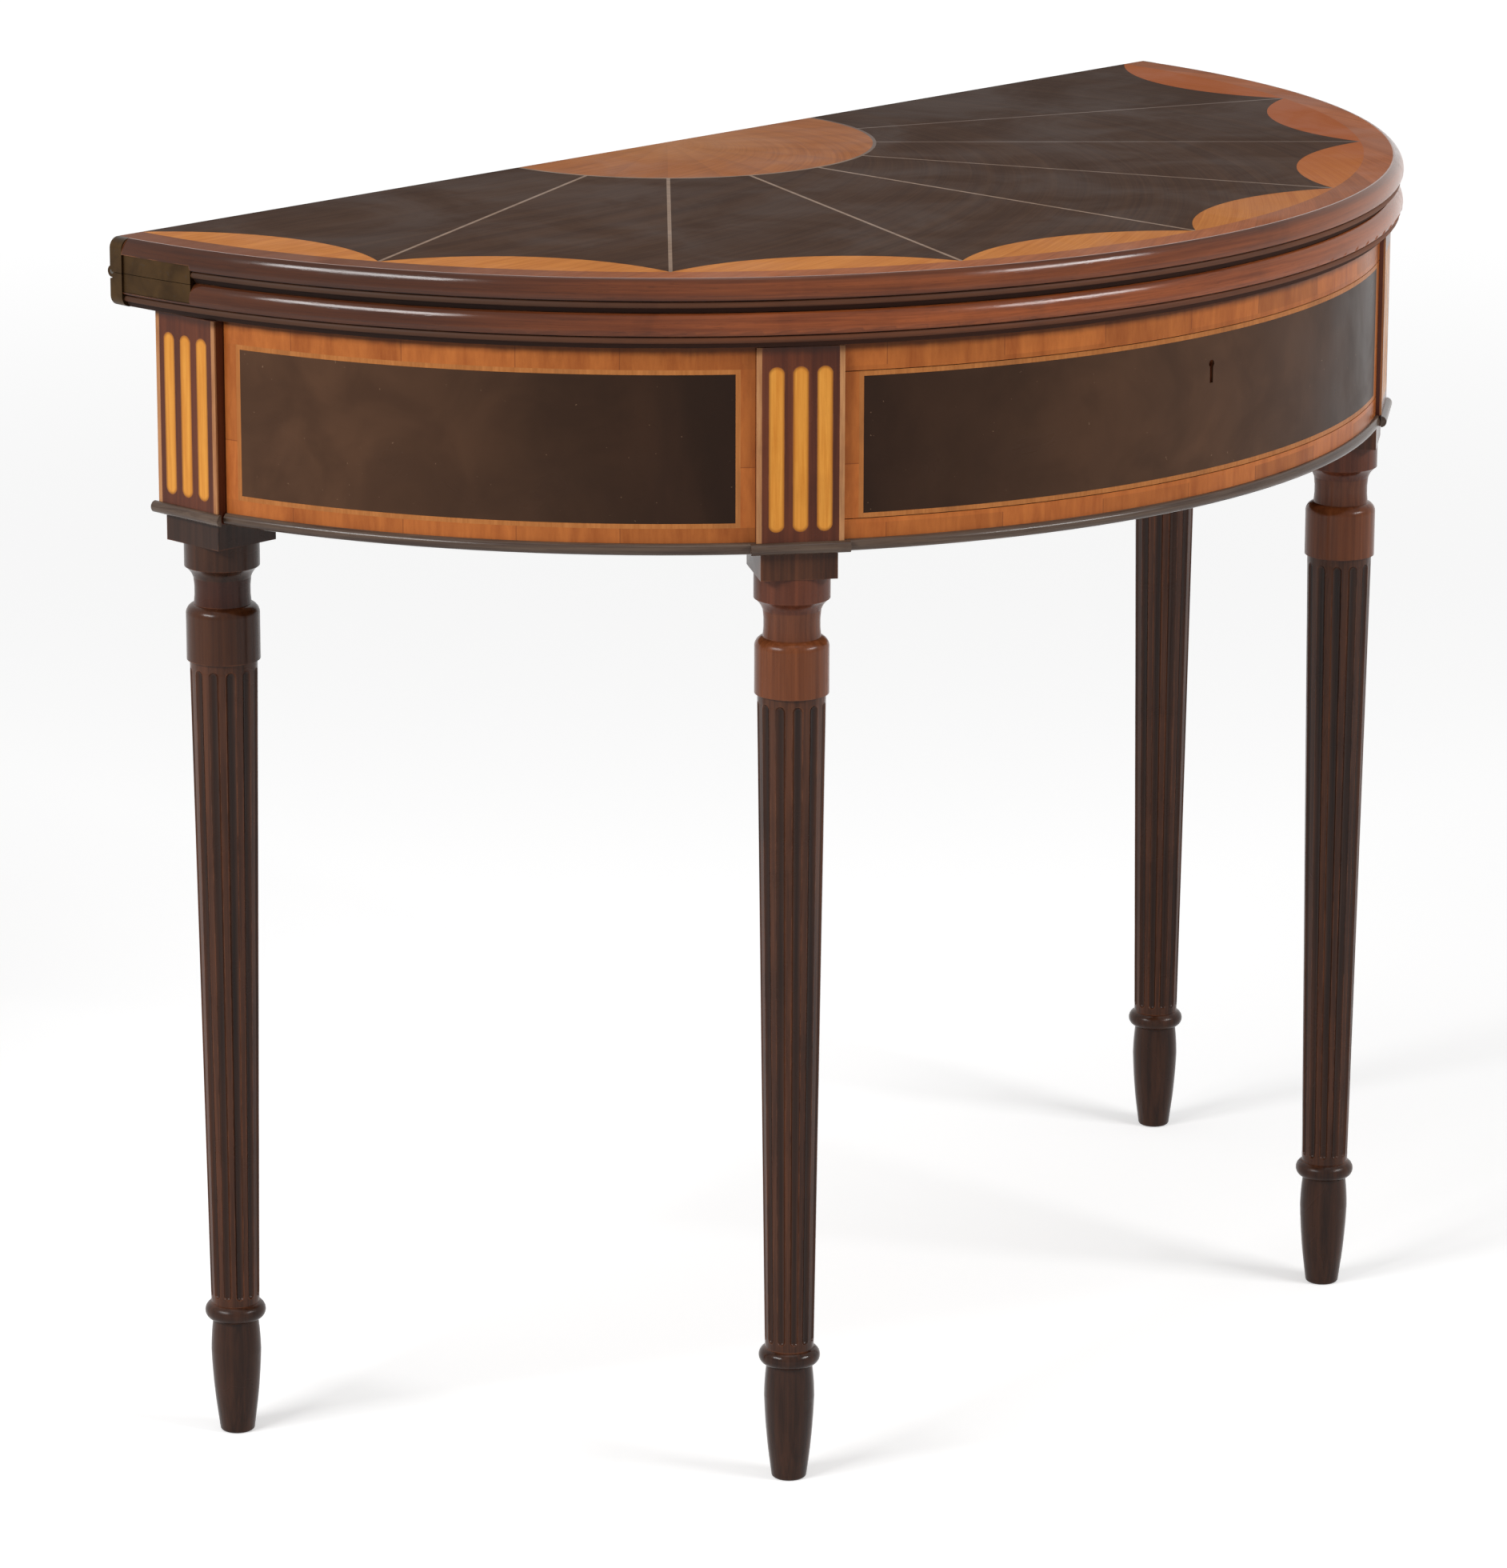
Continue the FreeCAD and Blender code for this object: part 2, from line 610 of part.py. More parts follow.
def leg_outline():
    """Turned profile from the floor up: foot, ring, shaft, collar, neck and drum."""
    mid_foot = "(foot_round + belly_z) / 2"
    return [
        ("0", "0"),
        ("foot_end_radius - foot_round", "0",
         "foot_end_radius - foot_round * (1 - sin(45 deg))", "foot_round * (1 - cos(45 deg))"),
        ("foot_end_radius", "foot_round",
         "foot_end_radius + (foot_belly_radius - foot_end_radius) * foot_swell_share", mid_foot),
        ("foot_belly_radius", "belly_z",
         "foot_belly_radius - (foot_belly_radius - foot_top_radius) * foot_taper_share",
         "(belly_z + foot_height) / 2"),
        ("foot_top_radius", "foot_height"),
        ("shaft_bottom_radius", "foot_height", "ring_radius", "foot_height + ring_height / 2"),
        ("shaft_bottom_radius", "shaft_low"),
        ("shaft_top_radius", "collar_low"),
        ("collar_radius", "collar_low"),
        ("collar_radius", "collar_high",
         "neck_radius + (collar_radius - neck_radius) * shoulder_out_share",
         "collar_high + shoulder_height * shoulder_up_share"),
        ("neck_radius", "neck_low", "neck_radius - neck_waist", "(neck_low + neck_high) / 2"),
        ("neck_radius", "neck_high",
         "neck_radius + (drum_radius - neck_radius) * cove_out_share",
         "neck_high + cove_height * cove_up_share"),
        ("drum_radius", "drum_low"),
        ("drum_radius", "block_low"),
        ("0", "block_low"),
    ]


def flute_outline():
    """Half of a tapered flute, beside a line that runs just outside the shaft."""
    bend = "cos(45 deg)"
    return [
        ("flute_low_x - flute_lean * flute_bottom_radius", "flute_low - flute_bottom_radius"),
        ("flute_high_x + flute_lean * flute_top_radius", "flute_high + flute_top_radius",
         f"flute_high_x - flute_top_radius * {bend}", f"flute_high + flute_top_radius * {bend}"),
        ("flute_high_x - flute_top_radius", "flute_high"),
        ("flute_low_x - flute_bottom_radius", "flute_low",
         f"flute_low_x - flute_bottom_radius * {bend}", f"flute_low - flute_bottom_radius * {bend}"),
    ]


def turned_leg(name):
    """Turned and fluted leg below the square block."""
    body = turned(name, leg_outline(), x="0", y="0")
    sketch = outline_sketch(body, name + "_flute_outline", flute_outline())
    sketch.addGeometry(Part.LineSegment(sketch.getPoint(0, 1), sketch.getPoint(0, 2)), True)
    guide = sketch.GeometryCount - 1
    sketch.addConstraint(Sketcher.Constraint("Coincident", guide, 1, 0, 1))
    sketch.addConstraint(Sketcher.Constraint("Coincident", guide, 2, 0, 2))
    flute = body.newObject("PartDesign::Groove", name + "_flute")
    flute.Profile = sketch
    flute.ReferenceAxis = (sketch, ["Axis0"])
    flute.Angle = 360
    flutes = body.newObject("PartDesign::PolarPattern", name + "_flutes")
    flutes.Originals = [flute]
    flutes.Axis = (next(item for item in body.Origin.OriginFeatures if item.Role == "Z_Axis"), [""])
    flutes.Angle = 360
    flutes.setExpression("Occurrences", ex("flute_count"))
    body.Tip = flutes
    return body


def about(middle, width):
    """Limits of a given width about a middle."""
    return (f"{middle} - {width} / 2", f"{middle} + {width} / 2")


def string_place(side):
    return f"{side} * (head_width - pilaster_string_width) / 2"


def inlaid_bar(name, middle):
    """Bar with round ends, let into the outer face of a leg head."""
    low, high = "frieze_bottom + bar_bottom_margin", "frieze_top - bar_top_margin"
    end_low, end_high = f"{low} + bar_width * bar_end_share", f"{high} - bar_width * bar_end_share"
    body = doc.addObject("PartDesign::Body", name)
    outline = [("-bar_width / 2", end_low, "0", low), ("bar_width / 2", end_low),
               ("bar_width / 2", end_high, "0", high), ("-bar_width / 2", end_high)]
    pad = body.newObject("PartDesign::Pad", name + "_pad")
    pad.Profile = outline_sketch(body, name + "_outline", outline)
    pad.setExpression("Length", ex("inlay_depth"))
    return place(body, "-head_width / 2", middle, "0", "90 deg")


half_head = about("0", "head_width")
half_block = about("0", "block_width")
face = ("-head_width / 2", "-head_width / 2 + inlay_depth")
head = box("leg_head", half_head, half_head, ("frieze_bottom", "head_top"))
leg_blank = fuse("leg_blank", [turned_leg("leg_turning"), head,
                               box("leg_block", half_block, half_block, ("block_low", "frieze_bottom"))])
bars = [inlaid_bar(f"pilaster_bar_{i}", f"bar_pitch * {i}") for i in (-1, 0, 1)]
edge_strings = [box(f"pilaster_string_{side}", face, about(string_place(side), "pilaster_string_width"),
                    ("bead_top", "head_top")) for side in (-1, 1)]
bead_length = about("0", "(head_width + bead_height)")
bead_back = box("head_bead_back", half_head, bead_length, ("frieze_bottom", "bead_top"))
head_bead = cut("head_bead", rod("head_bead_bar", "bead_height / 2", *bead_length, x="-head_width / 2",
                                 z="frieze_bottom + bead_height / 2", along="y"), [bead_back])
head_spots = {
    "front": ("-front_leg_x", "front_leg_y", "0", "front_turn"),
    "rear": ("-rear_leg_x", "rear_leg_y"),
}


def placed(name, members, spot):
    """Pieces made about a leg's own axis, moved to a left-hand leg."""
    return place(group(name, members), *head_spots[spot])


front_leg = placed("front_leg_spot", [cut("front_leg_wood", leg_blank, bars + edge_strings)], "front")
rear_leg = placed("rear_leg_spot", [cut("rear_leg_wood", leg_blank, bars + edge_strings)], "rear")
node("front_leg_left", front_leg)
node("front_leg_right", mirror("front_leg_other", front_leg))
for part_name, members in (("bars", bars), ("strings", edge_strings), ("bead", [head_bead])):
    front = placed(f"front_{part_name}_spot", members, "front")
    rear = placed(f"rear_{part_name}_spot", members, "rear")
    both = group(f"front_{part_name}", [front, mirror(f"front_{part_name}_other", front)])
    node(f"front_pilaster_{part_name}", both)
    node(f"rear_left_pilaster_{part_name}", rear)
    node(f"rear_right_pilaster_{part_name}", mirror(f"rear_{part_name}_other", rear))


# Frieze: curved cores behind veneers, crossbands and strings

past_frieze = ("frieze_bottom - cut_overrun", "frieze_top + cut_overrun")
behind_end = box("behind_frieze_end", ("-leaf_radius", "0"),
                 ("centre_y - frieze_end", "centre_y + leaf_radius"), past_frieze)
head_space = placed("front_head_space", [box("head_space", half_head, half_head, past_frieze)], "front")
drawer_end = box("drawer_end_space", half_head, about("0", "(head_width + 2 * drawer_gap)"), past_frieze)
drawer_space = placed("front_drawer_space", [drawer_end], "front")
both_heads = [head_space, mirror("front_head_space_right", head_space)]
both_drawer_ends = [drawer_space, mirror("front_drawer_space_right", drawer_space)]


def bent_board(name, low, high, start="left_leg_ray", end="right_leg_ray"):
    """Curved core of the frieze, before its ends are cut."""
    return ring(name, "inner_radius", "core_radius", low, high, start, end)


side_board = bent_board("side_rail_bend", "frieze_bottom", "frieze_top", "180 deg", "left_leg_ray")
core = cut("side_rail", side_board, [behind_end, head_space])
node("frieze_rail_left", core)
node("frieze_rail_right", mirror("frieze_core_other", core))


def skin(name, low, high, start, end):
    """Piece of veneer on the outside of the frieze."""
    return ring(name, "core_radius + glue_line", "frieze_radius", low, high, start, end)


def strip_frame(name, low, high, start, end, tall, wide):
    """Four strips round a curved panel: two long ones and two short ones between them."""
    inside = (f"{low} + {tall[0]}", f"{high} - {tall[1]}")
    return [skin(name + "_low", low, inside[0], start, end),
            skin(name + "_high", inside[1], high, start, end),
            skin(name + "_start", *inside, start, f"{start} + {wide}"),
            skin(name + "_end", *inside, f"{end} - {wide}", end)]


string_tall = ("panel_string_width", "panel_string_width")
bands = strip_frame("side_band", "bead_top", "frieze_top", "panel_start", "panel_end",
                   ("band_width", "top_band_width"), "band_sweep")
lines = strip_frame("side_line", "low_band_top", "high_band_low", "panel_start + band_sweep",
                   "panel_end - band_sweep", string_tall, "string_sweep")
panel = skin("side_field", "low_string_top", "high_string_low", "panel_start + band_sweep + string_sweep",
             "panel_end - band_sweep - string_sweep")
for part_name, members in (("crossband", bands), ("string", lines), ("veneer", [panel])):
    left = group(f"frieze_{part_name}_set", members)
    node(f"frieze_{part_name}_left", left)
    node(f"frieze_{part_name}_right", mirror(f"frieze_{part_name}_other", left))


def bead(name, start, end):
    """Half-round bead along the bottom edge of the frieze."""
    return turned(name, [("core_radius + glue_line", "frieze_bottom"),
                         ("frieze_radius", "frieze_bottom",
                          "frieze_radius + bead_height / 2", "frieze_bottom + bead_height / 2"),
                         ("frieze_radius", "bead_top"),
                         ("core_radius + glue_line", "bead_top")], start, f"({end}) - ({start})")


side_bead = bead("side_bead", "panel_start", "panel_end")
node("frieze_bead", group("bead_set", [side_bead, bead("front_bead", "rail_start", "rail_end"),
                                       mirror("side_bead_other", side_bead)]))

bolt_mortise = box("bolt_mortise", about("0", "(bolt_width + 2 * mortise_clearance)"),
                   ("bolt_y - mortise_clearance", "bolt_y + bolt_thickness + mortise_clearance"),
                   ("high_string_low - cut_overrun", "high_string_low + bolt_travel + mortise_clearance"))
node("drawer_top_rail", cut("top_rail", bent_board("top_rail_bend", "high_string_low", "frieze_top"),
                            both_heads + [bolt_mortise]))
bottom_rail_board = bent_board("bottom_rail_bend", "frieze_bottom", "low_string_top")
node("drawer_bottom_rail", cut("bottom_rail", bottom_rail_board, both_heads))
node("rail_crossbands", group("rail_bands", [
    skin("top_rail_band", "high_string_low", "frieze_top", "rail_start", "rail_end"),
    skin("bottom_rail_band", "bead_top", "low_string_top", "rail_start", "rail_end")]))

back_board = box("back_rail_board", ("-inner_radius", "inner_radius"),
                 ("centre_y - back_rail_front", "centre_y - frieze_end"), ("gate_bottom", "frieze_top"))
node("back_rail", common("back_rail_ends", back_board, inner_space("back_rail_space")))


# Gates: fly rails on wooden knuckles, each carrying a rear leg

fixed_fingers = range(0, count("knuckle_count"), 2)
moving_fingers = range(1, count("knuckle_count"), 2)


def finger_space(name, index, side):
    """Room to swing round one finger of a knuckle."""
    low = f"gate_bottom + knuckle_height * {index}"
    return rod(f"{name}_{index}", "swing_radius", f"{low} - knuckle_gap / 2",
               f"{low} + knuckle_height + knuckle_gap / 2", f"{side} * gate_pin_x", "gate_y")


def gate_rod(name, radius, side):
    return rod(name, radius, "gate_bottom", "head_top", f"{side} * gate_pin_x", "gate_y")


tenon = box("fly_tenon", ("-rear_leg_x + head_width / 2 - tenon_length", "-rear_leg_x + head_width / 2"),
            ("gate_y - tenon_thickness / 2", "gate_y + tenon_thickness / 2"),
            ("gate_bottom + tenon_shoulder", "head_top - tenon_shoulder"))
fly_board = box("fly_board", ("-rear_leg_x + head_width / 2", "-gate_pin_x"),
                ("fly_front_y", "fly_front_y + fly_rail_thickness"), ("gate_bottom", "head_top"))
fly_blank = fuse("fly_rail_blank", [fly_board, tenon, gate_rod("fly_barrel", "knuckle_radius", -1)])
fly_rail = cut("fly_rail", fly_blank, [finger_space("fly_space", i, -1) for i in fixed_fingers]
               + [gate_rod("fly_pin_hole", "gate_pin_radius + running_fit", -1)])
node("fly_rail_left", fly_rail)
node("fly_rail_right", mirror("fly_rail_other", fly_rail))
rear_leg_left = cut("rear_leg_mortised", rear_leg, [tenon])
node("rear_leg_left", rear_leg_left)
node("rear_leg_right", mirror("rear_leg_other", rear_leg_left))

sides = (("left", -1), ("right", 1))
gate_pins = [gate_rod(f"gate_pin_{name}", "gate_pin_radius", side) for name, side in sides]
block_barrels = [gate_rod(f"block_barrel_{name}", "knuckle_radius", side) for name, side in sides]
hinge_board = box("hinge_board", ("-gate_pin_x", "gate_pin_x"),
                  ("centre_y - frieze_end", "fly_front_y + fly_rail_thickness"), ("gate_bottom", "head_top"))
swing_spaces = [finger_space(f"block_space_{name}", i, side)
                for name, side in sides for i in moving_fingers]
node("gate_hinge_block", cut("hinge_block", fuse("hinge_block_blank", [hinge_board] + block_barrels),
                             swing_spaces + gate_pins))
node("gate_pins", group("gate_pin_pair", gate_pins))


# Drawer and what it runs on

drawer_z = ("drawer_low", "drawer_high")
lock_box = box("lock_box", about("0", "lock_width"), ("lock_y", "drawer_face_y"),
               ("drawer_high - lock_height", "drawer_high"))
lock_space = box("lock_space", about("0", "lock_width"), ("lock_y", "drawer_face_y + cut_overrun"),
                 ("drawer_high - lock_height", "drawer_high + cut_overrun"))
keyhole_y = ("centre_y - leaf_radius", "lock_y + keyhole_plate")
keyhole = [rod("keyhole_round", "keyhole_radius", *keyhole_y, z="keyhole_z", along="y"),
           box("keyhole_slot", about("0", "keyhole_slot_width"), keyhole_y,
               ("keyhole_z - keyhole_slot_length", "keyhole_z"))]
node("drawer_front", cut("drawer_front_board", bent_board("drawer_front_bend", *drawer_z),
                         both_drawer_ends + [lock_space] + keyhole))
node("drawer_end_bands", group("drawer_bands", [
    skin("drawer_band_left", *drawer_z, "drawer_start", "drawer_start + drawer_band_sweep"),
    skin("drawer_band_right", *drawer_z, "drawer_end - drawer_band_sweep", "drawer_end")]))
node("drawer_strings", group("drawer_lines", strip_frame(
    "drawer_line", *drawer_z, "drawer_start + drawer_band_sweep", "drawer_end - drawer_band_sweep", string_tall,
    "string_sweep")))
drawer_field = skin("drawer_field", "drawer_low + panel_string_width", "drawer_high - panel_string_width",
                    "drawer_start + drawer_band_sweep + string_sweep",
                    "drawer_end - drawer_band_sweep - string_sweep")
node("drawer_front_veneer", cut("drawer_veneer", drawer_field, keyhole))

floor_board = box("drawer_floor_board", about("0", "2 * (drawer_inside + drawer_groove_depth)"),
                  ("drawer_face_y", "drawer_back_y"), ("drawer_floor", "drawer_floor_top"))
drawer_bottom = common("drawer_bottom_shape", floor_board, inner_space("drawer_bottom_space"))
node("drawer_bottom", drawer_bottom)
drawer_board = box("drawer_side_board", ("-drawer_half", "-drawer_inside"), ("drawer_face_y", "drawer_back_y"),
                 ("drawer_low", "drawer_side_top"))
drawer_side_blank = common("drawer_side_shape", drawer_board, inner_space("drawer_side_space"))
drawer_side = cut("drawer_side_grooved", drawer_side_blank, [floor_board])
node("drawer_side_left", drawer_side)
node("drawer_side_right", mirror("drawer_side_other", drawer_side))
node("drawer_back", box("drawer_back_board", ("-drawer_inside", "drawer_inside"),
                        ("drawer_back_y - drawer_back_thickness", "drawer_back_y"),
                        ("drawer_floor_top", "drawer_side_top")))

bolt = box("lock_bolt_bar", about("0", "bolt_width"), ("bolt_y", "bolt_y + bolt_thickness"),
           ("drawer_high - bolt_height", "drawer_high"))
bolt_space = box("bolt_space", about("0", "(bolt_width + 2 * bolt_clearance)"),
                 ("bolt_y - bolt_clearance", "bolt_y + bolt_thickness + bolt_clearance"),
                 ("drawer_high - bolt_height - bolt_clearance", "drawer_high + cut_overrun"))
node("lock_case", cut("lock_case_cut", lock_box, [bolt_space] + keyhole))
node("lock_bolt", bolt)

run_y = ("drawer_face_y", "centre_y - back_rail_front")


def run(name, x, z, clearance="0"):
    """Strip from the curved rail back to the back rail, at the left of the drawer, and its twin."""
    left = common(name, box(name + "_strip", x, run_y, z), inner_space(name + "_space", clearance))
    return group(name + "_pair", [left, mirror(name + "_other", left)])


run_x = ("-runner_x", "-runner_x + runner_width")
node("drawer_runners", run("runner", run_x, ("low_string_top - runner_height", "low_string_top")))
node("drawer_guides", run("guide", ("-runner_x", "-runner_x + guide_thickness"),
                          ("low_string_top", "high_string_low"), "drawer_gap"))
node("drawer_kickers", run("kicker", run_x, ("high_string_low", "high_string_low + runner_height")))


def stop_piece(name, low, high, clearance):
    """Part of a drawer stop, shaped to the curve it faces."""
    piece = box(name + "_strip", ("-stop_x - stop_width", "-stop_x"),
                ("drawer_face_y", "stop_back"), (low, high))
    return common(name, piece, inner_space(name + "_space", clearance))


stop = fuse("stop", [stop_piece("stop_base", "low_string_top - runner_height", "low_string_top", "0"),
                     stop_piece("stop_lip", "low_string_top", "low_string_top + stop_height", "drawer_gap")])
node("drawer_stops", group("stop_pair", [stop, mirror("stop_other", stop)]))


# Glue blocks under the lower leaf, with the screws that hold it

def glue_stick(name):
    """Square stick against the inside of the frieze, under the lower leaf."""
    return box(name, ("inner_radius - block_size", "inner_radius"), about("0", "block_length"),
               ("frieze_top - block_size", "frieze_top"))


def top_screw(name):
    """Screw up through a glue block into the lower leaf."""
    spot = "inner_radius - block_size / 2"
    low, neck = "frieze_top - block_size", "frieze_top - block_size + top_screw_head_height"
    return fuse(name, [rod(name + "_head", "top_screw_head_radius", low, neck, spot),
                       rod(name + "_shank", "top_screw_radius", neck, "frieze_top + top_screw_bite", spot)])


glue_blocks, top_screws = [], []
for i, share in enumerate(GLUE_BLOCK_SHARES):
    spot = ("0", "centre_y", "0", f"180 deg + stick_first + (stick_last - stick_first) * {share}")
    stick = place(group(f"glue_stick_{i}", [glue_stick(f"glue_board_{i}")]), *spot)
    screw = place(group(f"top_screw_{i}", [top_screw(f"top_screw_body_{i}")]), *spot)
    shaped = common(f"glue_shape_{i}", stick, inner_space(f"glue_space_{i}"))
    glue_blocks.append(cut(f"glue_block_{i}", shaped, [screw]))
    top_screws.append(screw)
glue_blocks += [mirror(item.Name + "_other", item) for item in glue_blocks]
top_screws += [mirror(item.Name + "_other", item) for item in top_screws]
node("glue_blocks", group("glue_block_set", glue_blocks))
node("top_screws", group("top_screw_set", top_screws))
lower_wood = leaf("lower_leaf_wood", lower_blank, lower_hinge)
node("lower_leaf", cut("lower_leaf_screwed", lower_wood, top_screws))


# Build, check and write every sub-part

doc.recompute()
for obj in doc.Objects:
    if "Invalid" in obj.State or "Error" in obj.State:
        raise RuntimeError(f"{obj.Label} did not build: {obj.State}")
for obj in nodes:
    if obj.Shape.isNull() or not obj.Shape.isValid() or not obj.Shape.Solids:
        raise RuntimeError(f"{obj.Label} has no valid solid")
os.makedirs("parts", exist_ok=True)
for obj in nodes:
    obj.Shape.exportStep(f"parts/{obj.Label}.step")
    print(obj.Label, len(obj.Shape.Solids), "solids", round(obj.Shape.Volume), "mm3")
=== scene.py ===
from math import atan2, cos, pi, radians, sin

import bpy
from mathutils import Matrix, Vector


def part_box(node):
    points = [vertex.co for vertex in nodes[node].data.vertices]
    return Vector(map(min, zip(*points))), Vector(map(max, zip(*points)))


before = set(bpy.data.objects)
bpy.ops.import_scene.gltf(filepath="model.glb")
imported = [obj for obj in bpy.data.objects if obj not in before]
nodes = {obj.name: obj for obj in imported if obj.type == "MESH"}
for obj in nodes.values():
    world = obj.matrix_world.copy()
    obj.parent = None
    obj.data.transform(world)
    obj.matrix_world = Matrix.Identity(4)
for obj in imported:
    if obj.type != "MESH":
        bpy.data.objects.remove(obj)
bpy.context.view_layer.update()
scene = bpy.context.scene
scene.view_settings.view_transform = "Standard"

# Places read from the frame, in metres
leafLow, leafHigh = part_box("upper_leaf")
backEdge = leafHigh.y    # the straight back edge, whose middle is at x = 0
leafRadius = leafHigh.y - leafLow.y
upperTop = leafHigh.z
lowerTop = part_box("lower_leaf")[1].z
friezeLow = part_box("frieze_rail_left")[0].z
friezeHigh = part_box("frieze_rail_left")[1].z
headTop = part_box("rear_leg_left")[1].z
print("frame loaded with", len(nodes), "nodes")


# Small helpers for shader nodes

def srgb(red, green, blue):
    # Colours are written as a screen shows them, and the shaders want them linear
    shares = [channel / 255 for channel in (red, green, blue)]
    linear = [s / 12.92 if s <= 0.04045 else ((s + 0.055) / 1.055) ** 2.4 for s in shares]
    return (*linear, 1)


def plug(tree, node, sockets):
    for name, value in sockets.items():
        if isinstance(value, bpy.types.NodeSocket):
            tree.links.new(value, node.inputs[name])
        else:
            node.inputs[name].default_value = value
    return node


def addNode(tree, kind, sockets, **settings):
    node = tree.nodes.new("ShaderNode" + kind)
    for name, value in settings.items():
        setattr(node, name, value)
    return plug(tree, node, sockets)


def calc(tree, operation, *values):
    return addNode(tree, "Math", dict(enumerate(values)), operation=operation).outputs[0]


def plus(tree, first, second):
    return calc(tree, "ADD", first, second)


def minus(tree, first, second):
    return calc(tree, "SUBTRACT", first, second)


def times(tree, first, second):
    return calc(tree, "MULTIPLY", first, second)


def larger(tree, first, second):
    return calc(tree, "MAXIMUM", first, second)


def diagonal(tree, first, second):
    return calc(tree, "SQRT", plus(tree, times(tree, first, first), times(tree, second, second)))


def rise(tree, value, low, high, start=0.0, end=1.0):
    # Goes softly from start to end while the value goes from low to high
    sockets = {"Value": value, "From Min": low, "From Max": high, "To Min": start, "To Max": end}
    return addNode(tree, "MapRange", sockets, interpolation_type="SMOOTHSTEP").outputs[0]


def between(tree, value, low, high, soft):
    # 1 inside the limits, falling to 0 over the soft distance on each side
    return times(tree, rise(tree, value, low - soft, low + soft),
                 rise(tree, value, high - soft, high + soft, 1, 0))


def tint(tree, share, first, second, kind="MIX"):
    sockets = {0: share, 6: first, 7: second}
    return addNode(tree, "Mix", sockets, data_type="RGBA", blend_type=kind).outputs[2]


def stain(tree, share, colour, tone):
    return tint(tree, share, colour, srgb(*tone))


def vary(tree, colour, chance, span):
    # Makes a colour lighter or darker by up to half the span
    tone = plus(tree, times(tree, chance, span), 1 - span / 2)
    shade = addNode(tree, "CombineColor", {0: tone, 1: tone, 2: tone}).outputs[0]
    return tint(tree, 1.0, colour, shade, "MULTIPLY")


def noise(tree, place, scale, detail=3.0, roughness=0.55, distortion=0.0):
    sockets = {"Vector": place, "Scale": scale, "Detail": detail, "Roughness": roughness,
               "Distortion": distortion}
    return addNode(tree, "TexNoise", sockets).outputs[0]


def point(tree, x, y, z):
    return addNode(tree, "CombineXYZ", {0: x, 1: y, 2: z}).outputs[0]


def split(tree, place):
    return addNode(tree, "SeparateXYZ", {0: place}).outputs


def newGroup(name, inputs, outputs):
    group = bpy.data.node_groups.new(name, "ShaderNodeTree")
    for label, kind in inputs.items():
        group.interface.new_socket(label, in_out="INPUT", socket_type="NodeSocket" + kind)
    for label in outputs:
        kind = "Vector" if label == "Normal" else "Float"
        group.interface.new_socket(label, in_out="OUTPUT", socket_type="NodeSocket" + kind)
    return group, group.nodes.new("NodeGroupInput").outputs, group.nodes.new("NodeGroupOutput")


def useGroup(tree, group, sockets):
    node = tree.nodes.new("ShaderNodeGroup")
    node.node_tree = group
    return plug(tree, node, sockets).outputs


# Where a spot lies about the middle of the back edge, from the left end round to the right

def makeRoundTable():
    outputs = ("Radius", "Angle", "Arc", "Height")
    group, given, end = newGroup("round the table", {"Place": "Vector"}, outputs)
    x, y, z = split(group, given["Place"])
    forward = minus(group, backEdge, y)
    radius = diagonal(group, x, forward)
    angle = calc(group, "ARCTAN2", forward, times(group, x, -1))
    arc = times(group, angle, radius)
    plug(group, end, {"Radius": radius, "Angle": angle, "Arc": arc, "Height": z})
    return group


roundTable = makeRoundTable()


def aroundTable(tree, place):
    return useGroup(tree, roundTable, {"Place": place})


# Moulded edge of the leaves, in metres down from the top and in from the rim

edgeSection = {
    "noseInset": 0.006, "noseDrop": 0.009, "noseLow": 0.0124, "tailInset": 0.002,
    "beadTop": 0.0132, "beadLow": 0.0166, "beadInset": 0.0018, "beadRadius": 0.0017,
    "dirtEdge": 0.0003, "dirtReach": 0.0095, "ease": 0.5, "underShare": 0.12, "topSlack": 0.001,
}


def bendRadius(inset, drop):
    # Radius of an arc that draws in by the inset over the drop
    return (inset ** 2 + drop ** 2) / 2 / inset


